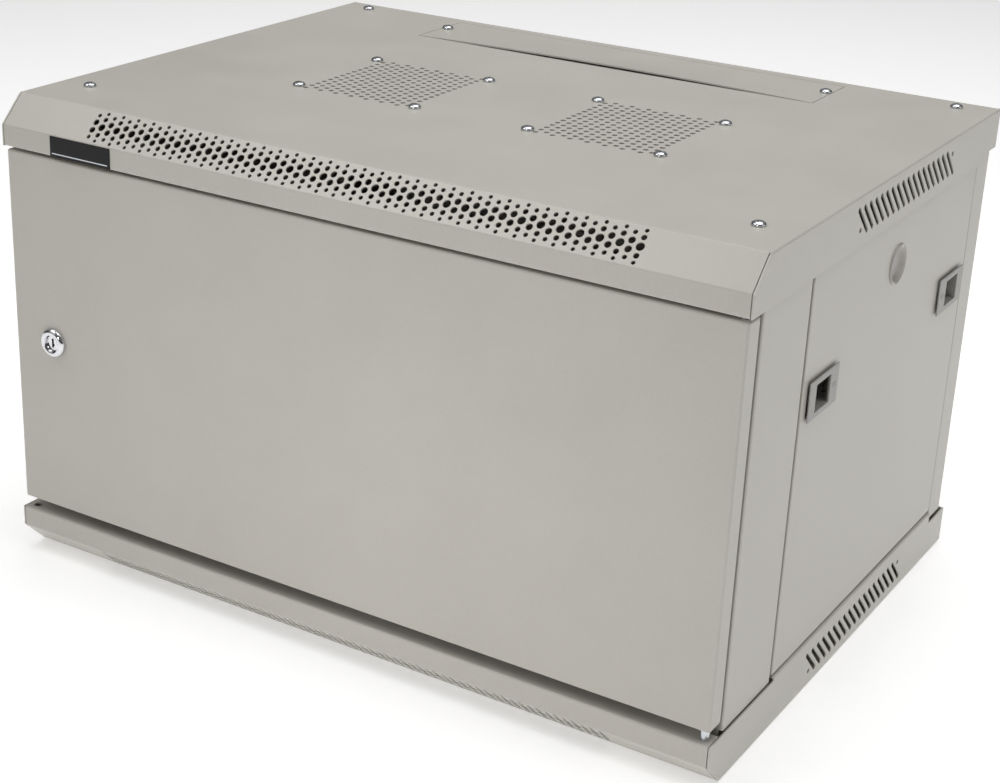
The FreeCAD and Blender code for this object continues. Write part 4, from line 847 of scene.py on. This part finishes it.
wire, turns, low, high = 0.0009, 4, 0.2960, 0.3186
coil = bmesh.new()
section = bmesh.ops.create_circle(coil, cap_ends=True, segments=10, radius=wire / 2,
                                  matrix=Matrix.Translation((0.0034, 0, low + wire / 2))
                                  @ Matrix.Rotation(math.pi / 2, 4, "X"))["verts"]
start = [item for vert in section for item in (vert, *vert.link_edges, *vert.link_faces)]
bmesh.ops.spin(coil, geom=list(dict.fromkeys(start)), cent=(0, 0, 0), axis=(0, 0, 1),
               angle=2 * math.pi * turns, steps=24 * turns,
               dvec=(0, 0, (high - low - wire) / (24 * turns)), use_merge=False,
               use_duplicate=False)
bmesh.ops.recalc_face_normals(coil, faces=coil.faces)
bmesh.ops.translate(coil, verts=coil.verts, vec=(hinge_x, hinge_y, 0))
spring = placed(coil, "hinge_spring", bright_zinc, "door", ["pin_spring"])
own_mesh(spring)


# --- door lock -----------------------------------------------------------------------------
# A chromed cam lock in the door's left edge: a domed bezel, a barrel sunk in it with a key
# slot, a threaded body with its nut behind the sheet, and a cam held by a screw.

bright_chrome = finish("bright_chrome", (0.66, 0.66, 0.68), (0.74, 0.74, 0.76), (0.04, 0.10),
                       900, 0.00001, Metallic=1.0)
on_lock = (Matrix.Translation((lock_x, door_front, lock_z))
           @ Matrix.Rotation(math.pi / 2, 4, "X"))

bezel = bmesh.new()
angles = [step * math.pi / 16 for step in range(-3, 9)]
dome = [(0.0083 + 0.0032 * math.sin(angle), 0.0006 + 0.0034 * math.cos(angle)) for angle in angles]
grooves = [(0.0090 if step % 2 else 0.0084, -0.0065 - 0.0005 * step) for step in range(29)]
turned(bezel, [(0.00605, -0.0215), (0.00605, 0.0012), (0.0064, 0.0020), *dome, (0.0115, 0),
               (0.0090, 0), (0.0090, -0.0060), *grooves, (0.0084, -0.0215), (0.00605, -0.0215)], 64)
bmesh.ops.transform(bezel, verts=bezel.verts, matrix=on_lock)
placed(bezel, "lock_bezel_turned", bright_chrome, "door", ["lock_body"])

barrel = bmesh.new()
turned(barrel, [(0, -0.0221), (0.0057, -0.0221), (0.00595, -0.0219), (0.00595, 0.0012),
                (0.0057, 0.0015), (0.0048, 0.0015), (0.0047, 0.0013), (0, 0.0013)], 48)
key_way = []
for place, size in (((0, 0, 0), (0.0019, 0.0072, 0.014)),
                    ((0.0009, -0.0012, 0), (0.0014, 0.0016, 0.013))):
    groove = bmesh.new()
    bar(groove, place, size)
    key_way.append(made_solid(groove, "groove"))
cut_barrel = bmesh.new()
cut_barrel.from_mesh(sunk(made_solid(barrel, "barrel"), key_way))
bar(cut_barrel, (0, 0, -0.0231), (0.007, 0.007, 0.002))
bmesh.ops.transform(cut_barrel, verts=cut_barrel.verts, matrix=on_lock)
placed(cut_barrel, "lock_barrel_turned", bright_chrome, "key", ["lock_barrel"])

eased("lock_nut", "lock_nut_hexagon", bright_zinc, "door", 0.0004)
eased("lock_cam", "lock_cam_plate", bright_zinc, "key", 0.0003)
cam_fixing = bmesh.new()
screws(cam_fixing, screw_head, [(lock_x, -0.1994, lock_z)], Matrix.Rotation(-math.pi / 2, 4, "X"))
placed(cam_fixing, "cam_screw_head", bright_zinc, "key", ["cam_screw"])


# --- side panels ---------------------------------------------------------------------------
# A lift-out pan of painted steel closes each side. Two tabs under its foot stand in slots of
# the tray, and its face is cut out for the knockout plug and for the two latches.

panel_front, panel_rear = -0.125, 0.1891
plug_z = 0.296
latch_spots = {"front": (-1, -0.0932), "rear": (1, 0.1552)}  # the tongue's way, the middle

for hand, side in (("left", -1), ("right", 1)):
    skin = bmesh.new()
    face = upright_plane((0, side, 0), (side, 0, 0), (side * skin_x, 0, 0))
    wide = sorted((side * panel_front, side * panel_rear))
    pan(skin, face, wide, (0.0406, 0.3311), 0.012, 0.0012)
    openings = [ring(skin, face @ Matrix.Translation((side * side_middle, plug_z, 0)), 0.0262, 40)]
    for end, middle in latch_spots.values():
        across = sorted((side * (middle - end * 0.0155), side * (middle + end * 0.0235)))
        openings.append(square_hole(skin, face, across, (latch_z - 0.0115, latch_z + 0.0115)))
    punch(skin, flat_face(skin, (side * skin_x, 0.03, 0.185)), openings)
    for y in (panel_front, panel_rear):
        to_post = upright_plane((1, 0, 0), (0, 1, 0), (0, y, 0))
        tongue = square_hole(skin, to_post, sorted((side * 0.2875, side * 0.2910)),
                             (latch_z - 0.0095, latch_z + 0.0095))
        punch(skin, flat_face(skin, (side * 0.2925, y, 0.185)), [tongue])
    thicken(skin, sheet_gauge, (side, 0, 0))
    for y in (-0.079, 0.141):
        bar(skin, (side * 0.2914, y, 0.0389), (sheet_gauge, 0.020, 0.0058))
    placed(skin, f"{hand}_panel_skin", powder_coat, f"{hand}_panel", [f"{hand}_side_panel"])


# --- knockout plugs ------------------------------------------------------------------------
# A dished plug of grey nylon pressed into the hole of each side panel. It is glossier than
# the paint round it.

plug_nylon = finish("plug_nylon", (0.36, 0.335, 0.315), (0.40, 0.375, 0.355), (0.16, 0.24),
                    1200, 0.00002)
for hand, side in (("left", -1), ("right", 1)):
    stopper = bmesh.new()
    turned(stopper, [(0.0118, -0.0080), (0.0130, -0.0080), (0.0130, 0), (0.0150, 0),
                     (0.0150, 0.0005), (0.0147, 0.0011), (0.0141, 0.0014), (0.0134, 0.0012),
                     (0.0126, 0.0006), (0.0112, -0.0009), (0.0098, -0.0019), (0.0080, -0.0024),
                     (0, -0.0026), (0, -0.0038), (0.0080, -0.0038), (0.0118, -0.0020),
                     (0.0118, -0.0080)], 56)
    on_skin = (Matrix.Translation((side * skin_x, side_middle, plug_z))
               @ Matrix.Rotation(side * math.pi / 2, 4, "Y"))
    bmesh.ops.transform(stopper, verts=stopper.verts, matrix=on_skin)
    placed(stopper, f"{hand}_plug_moulding", plug_nylon, f"{hand}_panel", [f"{hand}_panel_plug"])


# --- panel latches -------------------------------------------------------------------------
# Moulded grey slides. A finger goes in the well of one and draws its tongue out of the post.
# Each slide runs in a black channel glued behind the panel's skin.

latch_nylon = finish("latch_nylon", (0.30, 0.29, 0.275), (0.34, 0.33, 0.315), (0.36, 0.50),
                     1500, 0.00004)
guide_black = finish("guide_black", (0.09, 0.09, 0.09), (0.13, 0.13, 0.13), (0.45, 0.60),
                     1500, 0.00004)


def block(mesh, side, reach, along, up, easing=0.0):
    """A block of plastic: reach is its place out from the cabinet's middle."""
    low, high = sorted((side * reach[0], side * reach[1]))
    middle = ((low + high) / 2, (along[0] + along[1]) / 2, (up[0] + up[1]) / 2)
    made = bar(mesh, middle, (high - low, abs(along[1] - along[0]), up[1] - up[0]))
    if easing:
        ease(mesh, edges_of(made), easing)


def block_alone(name, side, reach, along, half, easing=0.0):
    """A block about the latches' height, parked alone."""
    mesh = bmesh.new()
    block(mesh, side, reach, along, (latch_z - half, latch_z + half), easing)
    return made_solid(mesh, name)


for hand, side in (("left", -1), ("right", 1)):
    for place, (end, middle) in latch_spots.items():
        base, length = 0.2880, (middle - 0.0150, middle + 0.0150)
        shift, half_well = end * 0.0018, 0.01220
        well = (middle + shift - half_well, middle + shift + half_well)
        under = (middle, middle - end * 0.0160)

        # the hollow neck: the well a finger goes in, and its undercut away from the tongue
        neck = block_alone("neck", side, (base, 0.2999), length, 0.0110)
        hollow = sunk(neck, [
            block_alone("well", side, (0.2895, 0.3020), well, 0.0100),
            block_alone("undercut", side, (0.2905, 0.2997), under, 0.0099),
        ])
        # the plate that is seen, with the well's mouth in it
        plate = block_alone("plate", side, (0.2998, 0.3010), (middle - 0.0245, middle + 0.0245),
                            0.01425, 0.0006)
        mouth = sunk(plate, [block_alone("mouth", side, (0.2990, 0.3020), well, 0.0100)])

        slide = bmesh.new()
        slide.from_mesh(mouth)
        slide.from_mesh(hollow)
        dashes = sorted((middle - end * 0.0150, middle - end * 0.0205))
        for up in (-1, 1):
            dash = latch_z + up * 0.0011
            block(slide, side, (0.3006, 0.3013), dashes, (dash - 0.0004, dash + 0.0004), 0.0002)
            block(slide, side, (base, 0.2900), length,
                  sorted((latch_z + up * 0.0105, latch_z + up * 0.01425)))
        tongue = sorted((middle + end * 0.0148, middle + end * 0.0333))
        block(slide, side, (base, 0.2905), tongue, (latch_z - 0.0090, latch_z + 0.0090), 0.0004)
        placed(slide, f"{hand}_{place}_latch_slide", latch_nylon, f"{hand}_{place}_slide",
               [f"{hand}_{place}_latch"])
        eased(f"{hand}_{place}_latch_guide", f"{hand}_{place}_latch_channel", guide_black,
              f"{hand}_panel", 0.0003)


# --- floor, light and camera ---------------------------------------------------------------
# A pale floor that runs far out, which also gives a little light. Large soft boxes stand
# overhead and at the sides, a spot brightens the door, and the lens is a long one.

floor_mesh = bmesh.new()
bmesh.ops.create_grid(floor_mesh, x_segments=1, y_segments=1, size=30)
bmesh.ops.translate(floor_mesh, verts=floor_mesh.verts, vec=(0, 0, -0.0005))
floor_data = finished(floor_mesh, "floor")
floor_data.materials.append(finish("pale_floor", (0.94, 0.94, 0.94), (0.95, 0.95, 0.95),
                                   (0.85, 0.95), 60, 0.00002,
                                   Emission_Color=(1, 1, 1, 1), Emission_Strength=0.33))
floor = bpy.data.objects.new("floor", floor_data)
bpy.context.scene.collection.objects.link(floor)

studio = bpy.data.worlds.new("studio")
bpy.context.scene.world = studio
studio.use_nodes = True
air, join = studio.node_tree.nodes, studio.node_tree.links.new
direction, height = air.new("ShaderNodeTexCoord"), air.new("ShaderNodeSeparateXYZ")
glow = air.new("ShaderNodeMapRange")
glow.inputs["From Max"].default_value = 0.8
glow.inputs["To Min"].default_value = 0.10
join(direction.outputs["Generated"], height.inputs["Vector"])
join(height.outputs["Z"], glow.inputs["Value"])
join(glow.outputs["Result"], air["Background"].inputs["Color"])
air["Background"].inputs["Strength"].default_value = 0.24


def lamp(name, kind, place, target, power, **settings):
    """A light that faces its target."""
    light = bpy.data.lights.new(name, kind)
    light.energy = power
    for setting, value in settings.items():
        setattr(light, setting, value)
    stand = bpy.data.objects.new(name, light)
    stand.location = place
    stand.rotation_euler = (Vector(target) - Vector(place)).to_track_quat("-Z", "Y").to_euler()
    bpy.context.scene.collection.objects.link(stand)


for name, place, target, power, wide, high in (
    ("key", (-1.6, -2.4, 1.5), (0, -0.2, 0.15), 4, 1.6, 1.6),
    ("over", (-1.06, -1.04, 2.09), (0, -0.2, 0.35), 13, 1.3, 1.0),
    ("roof", (0.3, 0.3, 2.6), (0, 0, 0.3), 43, 2.4, 2.0),
    ("side", (2.6, 0.4, 0.9), (0.3, 0, 0.18), 7, 1.6, 1.2),
    ("back", (-0.8, 2.6, 1.2), (0, 0.1, 0.37), 2, 2.6, 1.2),
):
    lamp(name, "AREA", place, target, power, shape="RECTANGLE", size=wide, size_y=high)
lamp("pool", "SPOT", (0.35, -2.6, 1.0), (0.08, door_front, 0.15), 96,
     spot_size=math.radians(19), spot_blend=1.0, shadow_soft_size=0.35)
bpy.context.scene.view_settings.view_transform = "Standard"

lens = bpy.data.cameras.new("lens")
lens.sensor_width, lens.lens = 36, 69.9
lens.shift_x, lens.shift_y = 0.0499, -0.0092
lens.clip_start = 0.05
camera = bpy.data.objects.new("camera", lens)
bpy.context.scene.collection.objects.link(camera)
stands_at = Vector((0.7104, -1.2263, 0.7291))
azimuth, elevation, roll = math.radians(31.64), math.radians(22.55), math.radians(2.0)
forward = Vector((-math.sin(azimuth) * math.cos(elevation), math.cos(azimuth) * math.cos(elevation),
                  -math.sin(elevation)))
level = forward.cross(Vector((0, 0, 1))).normalized()
upright = level.cross(forward)
right = level * math.cos(roll) + upright * math.sin(roll)
top = upright * math.cos(roll) - level * math.sin(roll)
turn = Matrix((right, top, -forward)).transposed()
camera.matrix_world = Matrix.Translation(stands_at) @ turn.to_4x4()
bpy.context.scene.camera = camera

bpy.context.view_layer.update()
